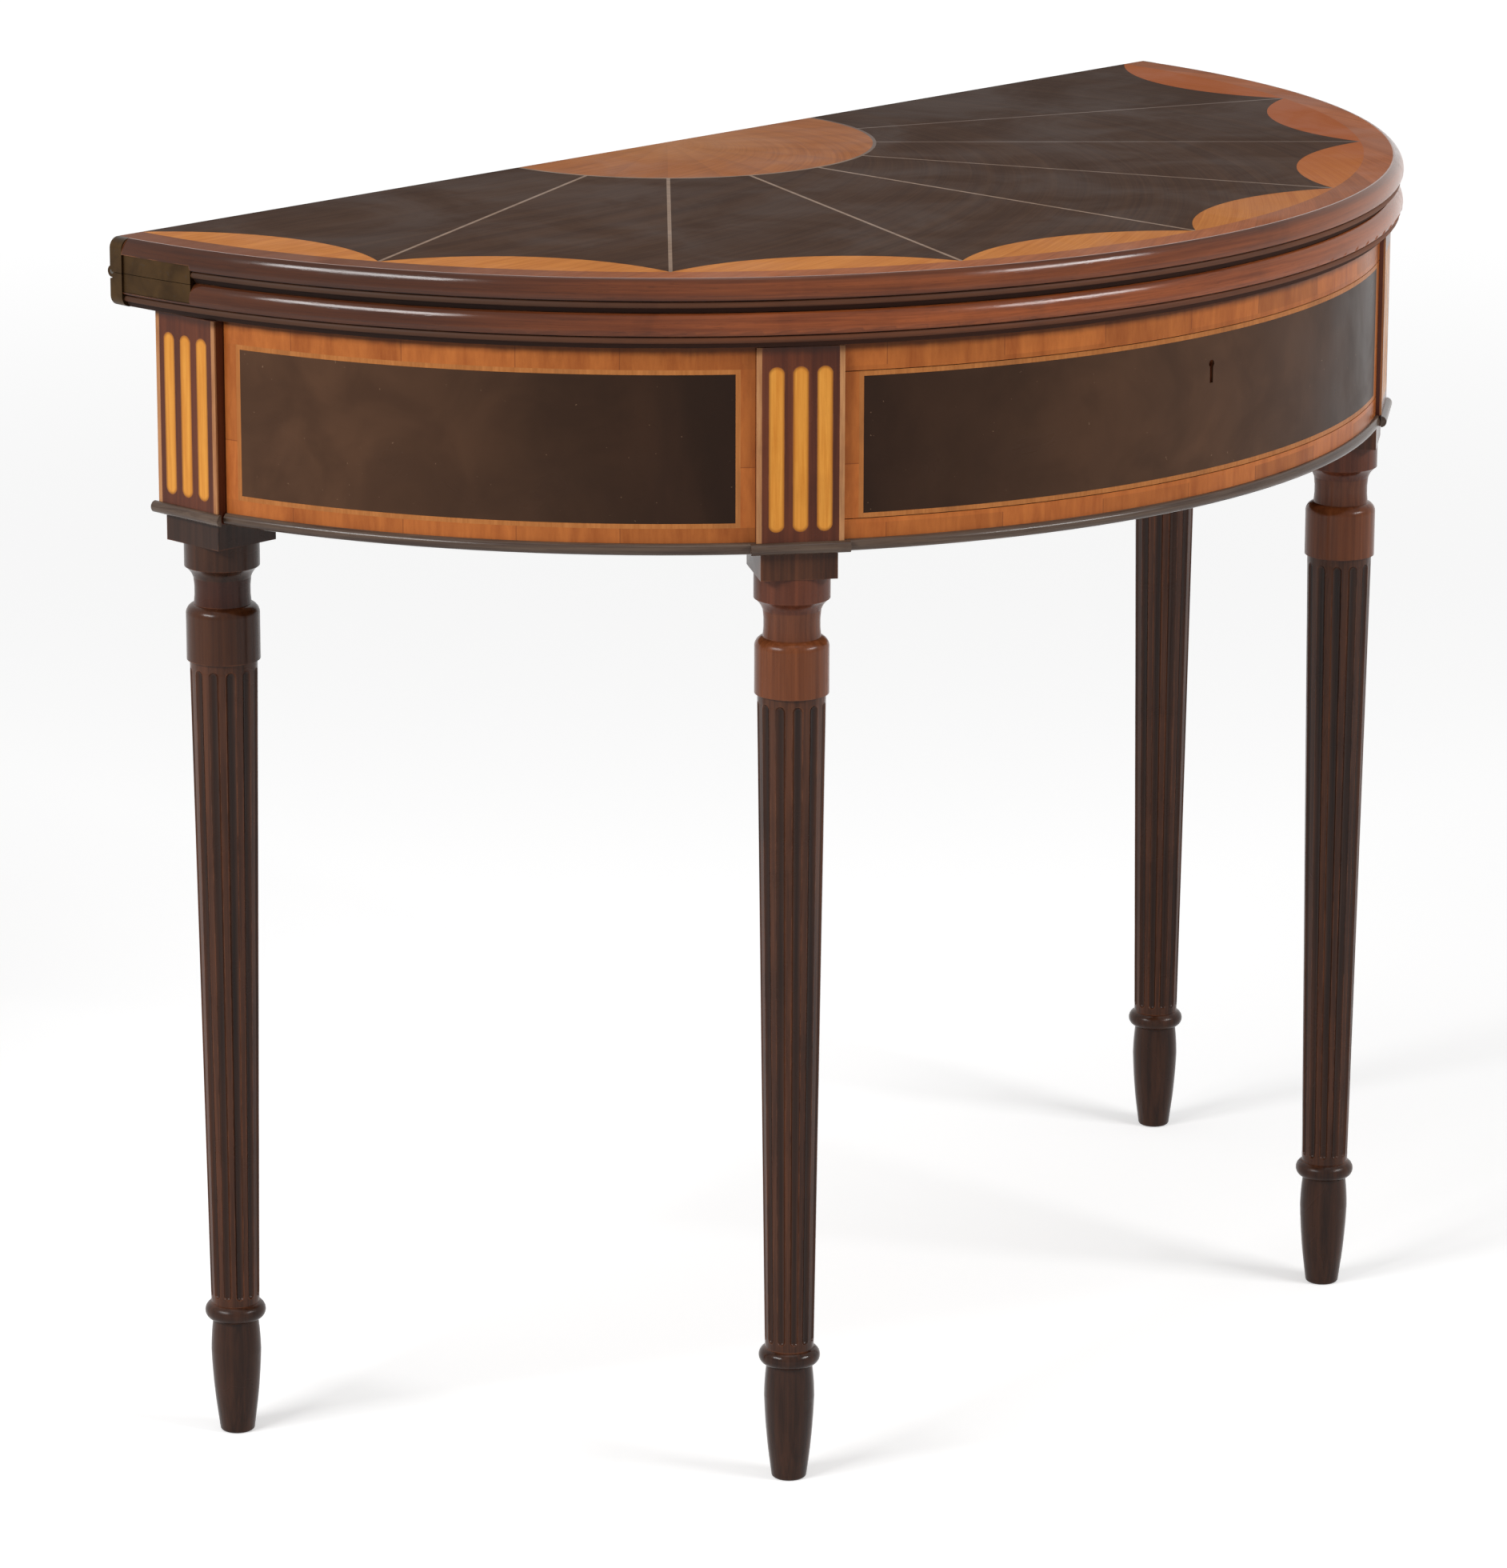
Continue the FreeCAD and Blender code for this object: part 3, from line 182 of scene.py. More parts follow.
def makeMouldedEdge():
    # Slope of the round nose and bead, eased a little by wear, so that light runs along in even lines
    section = edgeSection
    inputs = {"Place": "Vector", "Top": "Float"}
    group, given, end = newGroup("moulded edge", inputs, ("Normal", "Bead", "Groove"))
    radius = aroundTable(group, given["Place"])["Radius"]
    x, y, z = split(group, given["Place"])
    drop = minus(group, given["Top"], z)
    ahead = minus(group, y, backEdge)
    onEdge = calc(group, "GREATER_THAN", radius, leafRadius - section["noseInset"])
    belly = section["noseDrop"]
    noseBend = bendRadius(section["noseInset"], belly)
    tailBend = bendRadius(section["tailInset"], section["noseLow"] - belly)
    beadMiddle = (section["beadTop"] + section["beadLow"]) / 2
    # Radius of each round, its inset, and how far down its middle, its start and its end are
    rounds = (
        (noseBend, 0, belly, -section["topSlack"], belly),
        (tailBend, 0, belly, belly, section["noseLow"]),
        (section["beadRadius"], section["beadInset"], beadMiddle, section["beadTop"], section["beadLow"]),
    )
    normal = group.nodes.new("ShaderNodeNewGeometry").outputs["Normal"]
    for bend, inset, middle, high, low in rounds:
        share = calc(group, "DIVIDE", minus(group, radius, leafRadius - inset - bend), radius)
        lean = times(group, minus(group, middle, drop), section["ease"])
        upward = larger(group, lean, -bend * section["underShare"])
        slope = point(group, times(group, x, share), times(group, ahead, share), upward)
        turned = addNode(group, "VectorTransform", {0: slope}, vector_type="NORMAL",
                         convert_from="OBJECT", convert_to="WORLD").outputs[0]
        below = calc(group, "GREATER_THAN", drop, high)
        above = calc(group, "LESS_THAN", drop, low)
        inside = times(group, times(group, below, above), onEdge)
        normal = addNode(group, "Mix", {0: inside, 4: normal, 5: turned}, data_type="VECTOR").outputs[1]
    even = addNode(group, "VectorMath", {0: normal}, operation="NORMALIZE").outputs[0]
    # Painted shade fills the groove above the bead and the corner under it
    quirk = between(group, drop, section["noseLow"], section["beadTop"], section["dirtEdge"])
    nearRim = calc(group, "GREATER_THAN", radius, leafRadius - section["dirtReach"])
    under = rise(group, drop, section["beadLow"], section["beadLow"] + section["dirtEdge"])
    grooveShade = larger(group, times(group, quirk, onEdge), times(group, under, nearRim))
    plug(group, end, {"Normal": even, "Bead": inside, "Groove": grooveShade})    # the last round is the bead
    return group


# Wood grain: long streaks, broad figure and open pores

grainNoise = {
    "streak": {"scale": 1, "detail": 5, "roughness": 0.62, "distortion": 0.25}, "streakLimits": (0.28, 0.72),
    "figure": {"scale": 0.16, "detail": 3, "roughness": 0.5, "distortion": 0.9}, "figureLimits": (0.3, 0.7),
    "pore": {"scale": 3.2, "detail": 2, "roughness": 0.5}, "poreLimits": (0.6, 0.72), "poreShortening": 2.5,
}


def makeWoodGrain():
    # Coarse is the streaks in a metre across the grain, Stretch how many times longer they are
    labels = ("Along", "Across", "Depth", "Coarse", "Stretch", "Seed")
    group, given, end = newGroup("wood grain", dict.fromkeys(labels, "Float"), ("Streak", "Figure", "Pore"))
    coarse, seed = given["Coarse"], given["Seed"]
    along = calc(group, "DIVIDE", times(group, given["Along"], coarse), given["Stretch"])
    across = times(group, given["Across"], coarse)
    depth = plus(group, times(group, given["Depth"], coarse), seed)
    shorter = times(group, along, grainNoise["poreShortening"])
    streak = noise(group, point(group, along, across, depth), **grainNoise["streak"])
    figure = noise(group, point(group, plus(group, along, seed), across, depth), **grainNoise["figure"])
    pore = noise(group, point(group, shorter, across, depth), **grainNoise["pore"])
    plug(group, end, {"Streak": rise(group, streak, *grainNoise["streakLimits"]),
                      "Figure": rise(group, figure, *grainNoise["figureLimits"]),
                      "Pore": rise(group, pore, *grainNoise["poreLimits"])})
    return group


# Veneer laid in short lengths: each has its own tone, with a thin dark joint between them

laidVeneer = {"uneven": 0.5, "jointWidth": 0.0005, "jointShare": 0.6, "turnSoft": 0.00005}


def makePieceTone():
    inputs = {"Run": "Float", "Length": "Float", "Seed": "Float"}
    group, given, end = newGroup("piece tone", inputs, ("Tone", "Joint"))
    lengths = plus(group, calc(group, "DIVIDE", given["Run"], given["Length"]), given["Seed"])
    cells = {"W": lengths, "Scale": 1, "Randomness": laidVeneer["uneven"]}
    tone = addNode(group, "TexVoronoi", cells, voronoi_dimensions="1D")
    gap = addNode(group, "TexVoronoi", cells, voronoi_dimensions="1D", feature="DISTANCE_TO_EDGE")
    away = times(group, gap.outputs["Distance"], given["Length"])
    plug(group, end, {"Tone": split(group, tone.outputs["Color"])[0],
                      "Joint": rise(group, away, 0, laidVeneer["jointWidth"], 1, 0)})
    return group


# Hand-rubbed polish: soft smears in the gloss, dull specks and a faint ripple

polishNoise = {
    "smear": {"scale": 14, "detail": 4, "roughness": 0.6, "distortion": 0.6}, "smearShare": 0.7,
    "broad": {"scale": 5, "detail": 2, "roughness": 0.5, "distortion": 0.3},
    "speck": {"scale": 330, "detail": 2, "roughness": 0.5},
    "ripple": {"scale": 60, "detail": 2, "roughness": 0.5},
    "dullLimits": (0.36, 0.64), "grimeLimits": (0.5, 0.7), "speckLimits": (0.74, 0.8),
}


def makeOldPolish():
    inputs = {"Place": "Vector", "Gloss": "Float", "Dull": "Float"}
    group, given, end = newGroup("old polish", inputs, ("Roughness", "Grime", "Speck", "Ripple"))
    smear = noise(group, given["Place"], **polishNoise["smear"])
    broad = noise(group, given["Place"], **polishNoise["broad"])
    speck = noise(group, given["Place"], **polishNoise["speck"])
    ripple = noise(group, given["Place"], **polishNoise["ripple"])
    rubbed = plus(group, times(group, smear, polishNoise["smearShare"]),
                  times(group, broad, 1 - polishNoise["smearShare"]))
    share = rise(group, rubbed, *polishNoise["dullLimits"])
    span = minus(group, given["Dull"], given["Gloss"])
    plug(group, end, {"Roughness": plus(group, given["Gloss"], times(group, span, share)),
                      "Grime": rise(group, smear, *polishNoise["grimeLimits"]),
                      "Speck": rise(group, speck, *polishNoise["speckLimits"]), "Ripple": ripple})
    return group


# Rubbed corners, broken up so that they don't run as an even line

arris = {"samples": 6, "turnLimits": (0.82, 0.99), "patch": {"scale": 55}, "patchLimits": (0.4, 0.62)}


def makeWornArris():
    group, given, end = newGroup("worn arris", {"Place": "Vector", "Width": "Float"}, ("Wear",))
    soft = addNode(group, "Bevel", {"Radius": given["Width"]}, samples=arris["samples"]).outputs[0]
    flat = group.nodes.new("ShaderNodeNewGeometry").outputs["Normal"]
    turn = addNode(group, "VectorMath", {0: soft, 1: flat}, operation="DOT_PRODUCT").outputs["Value"]
    corner = rise(group, turn, *arris["turnLimits"], 1, 0)
    patch = rise(group, noise(group, given["Place"], **arris["patch"]), *arris["patchLimits"])
    plug(group, end, {"Wear": times(group, corner, patch)})
    return group


mouldedEdge = makeMouldedEdge()
woodGrain = makeWoodGrain()
pieceTone = makePieceTone()
oldPolish = makeOldPolish()
wornArris = makeWornArris()
print("shared effects made")


# Finishes

woodSurface = {"poreDepth": -0.6, "bumpDistance": 0.0003}


def startFinish(name):
    material = bpy.data.materials.new(name)
    material.use_nodes = True
    tree = material.node_tree
    shader = tree.nodes["Principled BSDF"]
    place = tree.nodes.new("ShaderNodeTexCoord").outputs["Object"]
    return material, tree, shader, place


def grainPlace(tree, place, run):
    # Along, across and through the grain
    x, y, z = split(tree, place)
    polar = aroundTable(tree, place)
    radius, arc = polar["Radius"], polar["Arc"]
    return {"arc": (arc, z, radius), "radial": (radius, arc, z), "tall": (z, arc, radius),
            "upright": (z, x, y), "level": (x, y, z), "deep": (y, x, z)}[run]


def woodColour(tree, place, look):
    along, across, depth = grainPlace(tree, place, look["run"])
    grain = useGroup(tree, woodGrain, {
        "Along": along, "Across": across, "Depth": depth,
        "Coarse": look["coarse"], "Stretch": look["stretch"], "Seed": look["seed"]})
    light = plus(tree, times(tree, grain["Streak"], look["streak"]),
                 times(tree, grain["Figure"], 1 - look["streak"]))
    colour = tint(tree, light, srgb(*look["dark"]), srgb(*look["pale"]))
    colour = stain(tree, times(tree, grain["Pore"], look["pores"]), colour, look["pore"])
    return colour, light, grain["Pore"]


def woodFinish(name, look, extra=None, shape=None):
    # extra paints over the plain wood, and shape gives a normal and a mask of what isn't polished
    material, tree, shader, place = startFinish(name)
    colour, light, pore = woodColour(tree, place, look)
    polish = useGroup(tree, oldPolish, {"Place": place, "Gloss": look["gloss"], "Dull": look["dull"]})
    if extra:
        colour = extra(tree, place, colour, light)
    colour = stain(tree, times(tree, polish["Grime"], look["grime"]), colour, look["pore"])
    height = plus(tree, times(tree, pore, woodSurface["poreDepth"]), polish["Ripple"])
    bump = addNode(tree, "Bump", {"Height": height, "Strength": look["bump"],
                                  "Distance": woodSurface["bumpDistance"]})
    rough = polish["Roughness"]
    if shape:
        normal, matte = shape(tree, place)
        plug(tree, bump, {"Normal": normal})
        rough = larger(tree, rough, matte)
    plug(tree, shader, {"Base Color": colour, "Roughness": rough, "Normal": bump.outputs[0],
                        "IOR": look["ior"]})
    return material


def rubArris(tree, place, colour, look):
    worn = useGroup(tree, wornArris, {"Place": place, "Width": look["wearWidth"]})
    return stain(tree, times(tree, worn["Wear"], look["wearShare"]), colour, look["wear"])


def dress(material, *names):
    for name in names:
        slots = nodes[name].data.materials
        slots.clear()
        slots.append(material)


# Leaves: moulded mahogany edges, plain polished faces

mahogany = {
    "run": "arc", "coarse": 420, "stretch": 34, "streak": 0.62, "pores": 0.3, "pore": (44, 20, 11),
    "dull": 0.21, "grime": 0.22, "bump": 0.08, "ior": 1.32,
}
upperLeafLook = {
    **mahogany, "seed": 3.0, "dark": (74, 33, 16), "pale": (132, 69, 36), "gloss": 0.11,
    # Painted shade in the grooves of the edge and, with wax, on the bead
    "beadWaxAndShadeTone": (62, 40, 24), "beadWaxAndShadeShare": 0.7, "beadRough": 0.6,
    "grooveShadeTone": (22, 12, 8), "grooveShadeShare": 0.9, "grooveRough": 0.95,
    "wear": (168, 104, 62), "wearWidth": 0.0012, "wearShare": 0.5,
    "rimFrom": 0.06, "rimTo": 0.01,    # metres in from the rim
    # Painted shade: the left end and the upper lip of the nose are darker
    "shadeTone": (46, 26, 17), "leftShadeShare": 0.78, "leftShadeFrom": 0.4, "leftShadeTo": 1.05, "lipShadeShare": 0.55,
    "sunTone": (178, 98, 42), "sunShare": 0.6, "sunFrom": 1.5, "sunTo": 2.4,
    "flatLimits": (0.97, 0.995),
}
lowerLeafLook = {
    **upperLeafLook, "seed": 21.0, "dark": (100, 46, 22), "pale": (156, 82, 42), "lipShadeShare": 0.1,
}
faceLook = {
    "run": "level", "coarse": 260, "stretch": 40, "seed": 11.0, "streak": 0.55,
    "dark": (92, 48, 30), "pale": (146, 86, 54), "pores": 0.5, "pore": (56, 28, 18),
}


def leafExtra(look, top):
    def paint(tree, place, colour, light):
        # The left end and the upper lip of the nose are painted darker, as shade,
        # and the sun has bleached the right end
        polar = aroundTable(tree, place)
        rim = rise(tree, polar["Radius"], leafRadius - look["rimFrom"], leafRadius - look["rimTo"])
        sun = rise(tree, polar["Angle"], look["sunFrom"], look["sunTo"], 0, look["sunShare"])
        colour = stain(tree, times(tree, sun, rim), colour, look["sunTone"])
        leftShade = rise(tree, polar["Angle"], look["leftShadeFrom"], look["leftShadeTo"], look["leftShadeShare"], 0)
        lipShade = rise(tree, polar["Height"], top - edgeSection["noseDrop"] / 2, top, 0, look["lipShadeShare"])
        colour = stain(tree, times(tree, larger(tree, leftShade, lipShade), rim), colour, look["shadeTone"])
        # Flat faces have straight grain from end to end; the edge keeps its grain along the curve
        upright = split(tree, tree.nodes.new("ShaderNodeTexCoord").outputs["Normal"])[2]
        flat = rise(tree, calc(tree, "ABSOLUTE", upright), *look["flatLimits"])
        colour = tint(tree, flat, colour, woodColour(tree, place, faceLook)[0])
        # Wax and dust have browned the small bead below the nose, which also takes painted shade, and the
        # grooves beside it are painted dark as shade
        edge = useGroup(tree, mouldedEdge, {"Place": place, "Top": top})
        colour = stain(tree, times(tree, edge["Bead"], look["beadWaxAndShadeShare"]), colour, look["beadWaxAndShadeTone"])
        colour = stain(tree, times(tree, edge["Groove"], look["grooveShadeShare"]), colour, look["grooveShadeTone"])
        return rubArris(tree, place, colour, look)
    return paint


def leafShape(look, top):
    def edgeForm(tree, place):
        # The grooves, painted dark as shade, are matte, and the bead between them is dull
        edge = useGroup(tree, mouldedEdge, {"Place": place, "Top": top})
        matte = larger(tree, times(tree, edge["Groove"], look["grooveRough"]),
                       times(tree, edge["Bead"], look["beadRough"]))
        return edge["Normal"], matte
    return edgeForm


for leaf, look, top in (("upper", upperLeafLook, upperTop), ("lower", lowerLeafLook, lowerTop)):
    finish = woodFinish(leaf + " leaf mahogany", look, leafExtra(look, top), leafShape(look, top))
    dress(finish, leaf + "_leaf")
print("leaves finished")


# Marquetry of the top; angles are in radians from the left end

groundLook = {
    "run": "radial", "coarse": 300, "stretch": 30, "seed": 5.0, "streak": 0.5,
    "dark": (49, 30, 19), "pale": (66, 44, 29), "pores": 0.25, "pore": (34, 21, 13),
    "gloss": 0.34, "dull": 0.46, "grime": 0.15, "bump": 0.06, "ior": 1.04,
    "wedgeCount": 8, "toneSpan": 0.3,
}
scallopLook = {
    "run": "radial", "coarse": 520, "stretch": 16, "seed": 8.0, "streak": 0.55,
    "dark": (166, 97, 40), "pale": (194, 125, 58), "pores": 0.12, "pore": (132, 74, 32),
    "gloss": 0.34, "dull": 0.46, "grime": 0.12, "bump": 0.06, "ior": 1.05,
    "wedgeCount": 8, "toneSpan": 0.2,
    # Painted shade: redder and darker towards the right end
    "paintedLight": (141, 64, 22), "paintedLightShare": 0.8, "paintedLightFrom": 1.5, "paintedLightTo": 2.5,
}
rimLook = {
    "run": "radial", "coarse": 640, "stretch": 10, "seed": 2.0, "streak": 0.6,
    "dark": (126, 68, 35), "pale": (156, 89, 48), "pores": 0.2, "pore": (98, 49, 25),
    "gloss": 0.32, "dull": 0.44, "grime": 0.15, "bump": 0.08, "ior": 1.06,
    "pieceLength": 0.085, "toneSpan": 0.35,
    # Painted shade towards the left end
    "leftShade": (66, 38, 25), "leftShadeShare": 0.6, "leftShadeFrom": 0.35, "leftShadeTo": 0.95,
}
fanLook = {
    "run": "radial", "coarse": 560, "stretch": 18, "seed": 6.0, "streak": 0.55,
    "dark": (131, 73, 31), "pale": (161, 96, 43), "pores": 0.12, "pore": (102, 55, 29),
    "gloss": 0.34, "dull": 0.46, "grime": 0.12, "bump": 0.08, "ior": 1.07,
    "petalCount": 12, "scorch": (104, 56, 29), "scorchShare": 0.25, "scorchFrom": 0.45,
    "core": (170, 115, 66), "coreShare": 0.35, "coreFrom": 0.02, "coreTo": 0.1,
}
boxwood = {
    "coarse": 700, "stretch": 20, "seed": 9.0, "streak": 0.6, "pores": 0.15, "pore": (84, 60, 44),
    "gloss": 0.32, "dull": 0.46, "grime": 0.3, "bump": 0.05,
}
topStringLook = {
    **boxwood, "run": "arc", "dark": (104, 80, 62), "pale": (142, 116, 94), "ior": 1.1,
    "faint": (72, 52, 42), "faintShare": 0.8, "faintFrom": 1.5, "faintTo": 2.3,
}


def wedgeTone(look):
    def paint(tree, place, colour, light):
        # Each wedge was cut from its own leaf of veneer
        angle = aroundTable(tree, place)["Angle"]
        index = calc(tree, "FLOOR", times(tree, angle, look["wedgeCount"] / pi))
        chance = addNode(tree, "TexWhiteNoise", {"W": plus(tree, index, look["seed"])},
                         noise_dimensions="1D").outputs["Value"]
        return vary(tree, colour, chance, look["toneSpan"])
    return paint


def laidPieces(look, upright=None):
    def paint(tree, place, colour, light):
        # Crossbanding in short lengths; upright strips are counted by height
        polar = aroundTable(tree, place)
        run = polar["Arc"]
        if upright:
            side = between(tree, polar["Height"], *upright, laidVeneer["turnSoft"])
            run = addNode(tree, "Mix", {0: side, 2: run, 3: polar["Height"]}, data_type="FLOAT").outputs[0]
        piece = useGroup(tree, pieceTone, {"Run": run, "Length": look["pieceLength"], "Seed": look["seed"]})
        colour = vary(tree, colour, piece["Tone"], look["toneSpan"])
        return stain(tree, times(tree, piece["Joint"], laidVeneer["jointShare"]), colour, look["pore"])
    return paint


def fanShade(tree, place, colour, light):
    # Each petal is scorched in hot sand along one side, and the fan is paler at its heart
    polar = aroundTable(tree, place)
    petal = calc(tree, "FRACT", times(tree, polar["Angle"], fanLook["petalCount"] / pi))
    side = rise(tree, petal, fanLook["scorchFrom"], 1)
    colour = stain(tree, times(tree, side, fanLook["scorchShare"]), colour, fanLook["scorch"])
    core = rise(tree, polar["Radius"], fanLook["coreFrom"], fanLook["coreTo"], 1, 0)
    return stain(tree, times(tree, core, fanLook["coreShare"]), colour, fanLook["core"])


def rimTone(tree, place, colour, light):
    # Painted shade: darkest towards the left end, like the edge beside it
    colour = laidPieces(rimLook)(tree, place, colour, light)
    angle = aroundTable(tree, place)["Angle"]
    leftShade = rise(tree, angle, rimLook["leftShadeFrom"], rimLook["leftShadeTo"], rimLook["leftShadeShare"], 0)
    return stain(tree, leftShade, colour, rimLook["leftShade"])


def stringFaint(tree, place, colour, light):
    # Old polish has browned the strings towards the right end
    look = topStringLook
    angle = aroundTable(tree, place)["Angle"]
    share = rise(tree, angle, look["faintFrom"], look["faintTo"], 0, look["faintShare"])
    return stain(tree, share, colour, look["faint"])


def scallopTone(tree, place, colour, light):
    # Painted shade: redder and darker towards the right end
    colour = wedgeTone(scallopLook)(tree, place, colour, light)
    angle = aroundTable(tree, place)["Angle"]
    red = rise(tree, angle, scallopLook["paintedLightFrom"], scallopLook["paintedLightTo"])
    return stain(tree, times(tree, red, scallopLook["paintedLightShare"]), colour, scallopLook["paintedLight"])


dress(woodFinish("ground veneer", groundLook, wedgeTone(groundLook)), "top_ground_wedges")
dress(woodFinish("scallop satinwood", scallopLook, scallopTone), "top_scallops")
dress(woodFinish("rim crossband", rimLook, rimTone), "top_rim_crossband")
dress(woodFinish("fan veneer", fanLook, fanShade), "fan_segments", "fan_boss")
dress(woodFinish("boxwood string", topStringLook, stringFaint), "top_radial_strings", "fan_border_string")
print("top finished")


# Frieze and drawer front

panelLook = {
    "run": "tall", "coarse": 90, "stretch": 3, "seed": 4.0, "streak": 0.12,
    "dark": (34, 21, 14), "pale": (46, 29, 20), "pores": 0.12, "pore": (28, 17, 12),
    "gloss": 0.26, "dull": 0.4, "grime": 0.2, "bump": 0.06, "ior": 1.18,
    "nick": (150, 120, 96), "nickShare": 0.5,
    # Painted sheen, paler away from the left front leg
    "paintedLight": (92, 64, 46), "paintedLightShare": 0.75, "darkest": 0.92, "paintedLightReach": 0.64,
    "cloud": {"scale": 22, "detail": 3, "roughness": 0.5, "distortion": 0.6},
    "cloudLimits": (0.25, 0.75), "cloudShares": (0.6, 1.1),
    "shadeFrom": 1.6, "shadeTo": 2.1, "shadeShare": 0.2,
}
bandLook = {
    "run": "tall", "coarse": 380, "stretch": 5, "seed": 7.0, "streak": 0.35,
    "dark": (148, 78, 34), "pale": (182, 106, 50), "pores": 0.06, "pore": (100, 48, 24),
    "gloss": 0.26, "dull": 0.4, "grime": 0.16, "bump": 0.05, "ior": 1.24,
    "pieceLength": 0.07, "toneSpan": 0.32, "uprightFrom": 0.0156, "uprightTo": 0.0136,
}
friezeStringLook = {**boxwood, "run": "tall", "dark": (160, 97, 48), "pale": (184, 118, 64), "ior": 1.22}
headStringLook = {**boxwood, "run": "upright", "dark": (150, 96, 60), "pale": (190, 138, 92), "ior": 1.25}
friezeBeadLook = {**mahogany, "seed": 14.0, "dark": (58, 42, 34), "pale": (104, 86, 72), "gloss": 0.22}
carcaseLook = {**faceLook, "run": "arc", "gloss": 0.4, "dull": 0.6, "grime": 0.3, "bump": 0.3, "ior": 1.4}
# Painted shadow and dirt under the overhanging leaf
shadowAndDirtLine = {"depth": 0.005, "wander": 0.003, "grain": {"scale": 90}, "share": 0.7, "tone": (44, 22, 13)}


def panelSheen(tree, place, colour, light):
    # Painted sheen: paler away from the left front leg, cloudy, and less of it towards the right end; with a
    # few pale knocks in the old polish
    look = panelLook
    angle = aroundTable(tree, place)["Angle"]
    off = calc(tree, "ABSOLUTE", minus(tree, angle, look["darkest"]))
    cloud = rise(tree, noise(tree, place, **look["cloud"]), *look["cloudLimits"], *look["cloudShares"])
    paintedLight = times(tree, rise(tree, off, 0, look["paintedLightReach"], 0, look["paintedLightShare"]), cloud)
    shade = rise(tree, angle, look["shadeFrom"], look["shadeTo"], 1, look["shadeShare"])
    colour = stain(tree, times(tree, paintedLight, shade), colour, look["paintedLight"])
    speck = useGroup(tree, oldPolish, {"Place": place})["Speck"]
    return stain(tree, times(tree, speck, look["nickShare"]), colour, look["nick"])


def shadowUnderLeaf(tree, place, colour):
    # Painted shadow, with old wax and dirt, in the corner under the overhanging leaf
    height = split(tree, place)[2]
    wander = times(tree, noise(tree, place, **shadowAndDirtLine["grain"]), shadowAndDirtLine["wander"])
    edge = plus(tree, height, wander)
    dirtAndShade = rise(tree, edge, friezeHigh - shadowAndDirtLine["depth"], friezeHigh, 0, shadowAndDirtLine["share"])
    return stain(tree, dirtAndShade, colour, shadowAndDirtLine["tone"])


def bandPaint(tree, place, colour, light):
    upright = (friezeLow + bandLook["uprightFrom"], friezeHigh - bandLook["uprightTo"])
    return shadowUnderLeaf(tree, place, laidPieces(bandLook, upright)(tree, place, colour, light))


def stringPaint(tree, place, colour, light):
    return shadowUnderLeaf(tree, place, colour)


dress(woodFinish("panel veneer", panelLook, panelSheen),
      "frieze_veneer_left", "frieze_veneer_right", "drawer_front_veneer")
dress(woodFinish("frieze crossband", bandLook, bandPaint),
      "frieze_crossband_left", "frieze_crossband_right", "rail_crossbands", "drawer_end_bands")
dress(woodFinish("frieze string", friezeStringLook),
      "frieze_string_left", "frieze_string_right", "drawer_strings")
dress(woodFinish("pilaster string", headStringLook, stringPaint),
      "front_pilaster_strings", "rear_left_pilaster_strings", "rear_right_pilaster_strings")
dress(woodFinish("bead mahogany", friezeBeadLook),
      "frieze_bead", "front_pilaster_bead", "rear_left_pilaster_bead", "rear_right_pilaster_bead")
dress(woodFinish("carcase mahogany", carcaseLook),
      "frieze_rail_left", "frieze_rail_right", "drawer_top_rail", "drawer_bottom_rail", "drawer_front")
print("frieze finished")


# Legs and pilasters; each turning has a dark and a pale tone of its own

legLook = {
    "run": "upright", "coarse": 330, "stretch": 40, "seed": 1.0, "streak": 0.6,
    "dark": (41, 21, 12), "pale": (90, 52, 32), "pores": 0.35, "pore": (28, 15, 10),
    "gloss": 0.16, "dull": 0.32, "grime": 0.25, "bump": 0.12, "ior": 1.28,
    "foot": ((28, 15, 10), (58, 35, 24)), "collar": ((92, 46, 22), (132, 73, 40)),
    "neck": ((84, 44, 27), (122, 70, 45)), "drum": ((80, 38, 24), (114, 58, 38)),
    "block": ((41, 21, 12), (90, 52, 32)), "head": ((72, 31, 17), (104, 50, 27)),
    "wear": (150, 92, 62), "wearWidth": 0.0012, "wearShare": 0.45,
}
# Less handled at the back and standing in shade, so the turnings there are painted darker
rearLegLook = {
    **legLook, "collar": ((48, 22, 9), (68, 36, 17)), "neck": ((46, 18, 12), (62, 29, 20)),
    "drum": ((30, 17, 11), (44, 28, 20)), "block": ((30, 18, 12), (50, 33, 25)),
}
legForm = {
    "footTop": 0.0815, "shaftLow": 0.082, "shaftTop": 0.4812, "collarTop": 0.5147, "neckTop": 0.5307,
    "drumTop": 0.5527, "turningSoft": 0.0008,
    "shaftLowRadius": 0.0145, "shaftTopRadius": 0.020, "fluteFrom": 0.0002, "fluteDepth": 0.0022,
    # Dirt and painted shade in the flutes
    "shaftSoft": 0.0005, "fluteDirtAndShade": (17, 9, 6), "dirtAndShadeShare": 0.8,
    "sawnDepth": 0.0004, "sawnRough": 0.95,
}
# Lowest and highest point of each turning, and how much of its own tone it takes
legTurnings = {
    "foot": (0, legForm["footTop"], 0.7),
    "collar": (legForm["shaftTop"], legForm["collarTop"], 0.75),
    "neck": (legForm["collarTop"], legForm["neckTop"], 0.7),
    "drum": (legForm["neckTop"], legForm["drumTop"], 0.55),
    "block": (legForm["drumTop"], friezeLow, 0.8),
    "head": (friezeLow, friezeHigh, 0.8),
}
barLook = {
    "run": "upright", "coarse": 620, "stretch": 24, "seed": 12.0, "streak": 0.55,
    "dark": (198, 123, 42), "pale": (224, 157, 68), "pores": 0.12, "pore": (150, 88, 30),
    "gloss": 0.28, "dull": 0.42, "grime": 0.18, "bump": 0.08, "ior": 1.25,
    "pitch": 0.014, "half": 0.0047, "core": 0.0026, "scorch": (116, 58, 15), "scorchShare": 0.68,
}


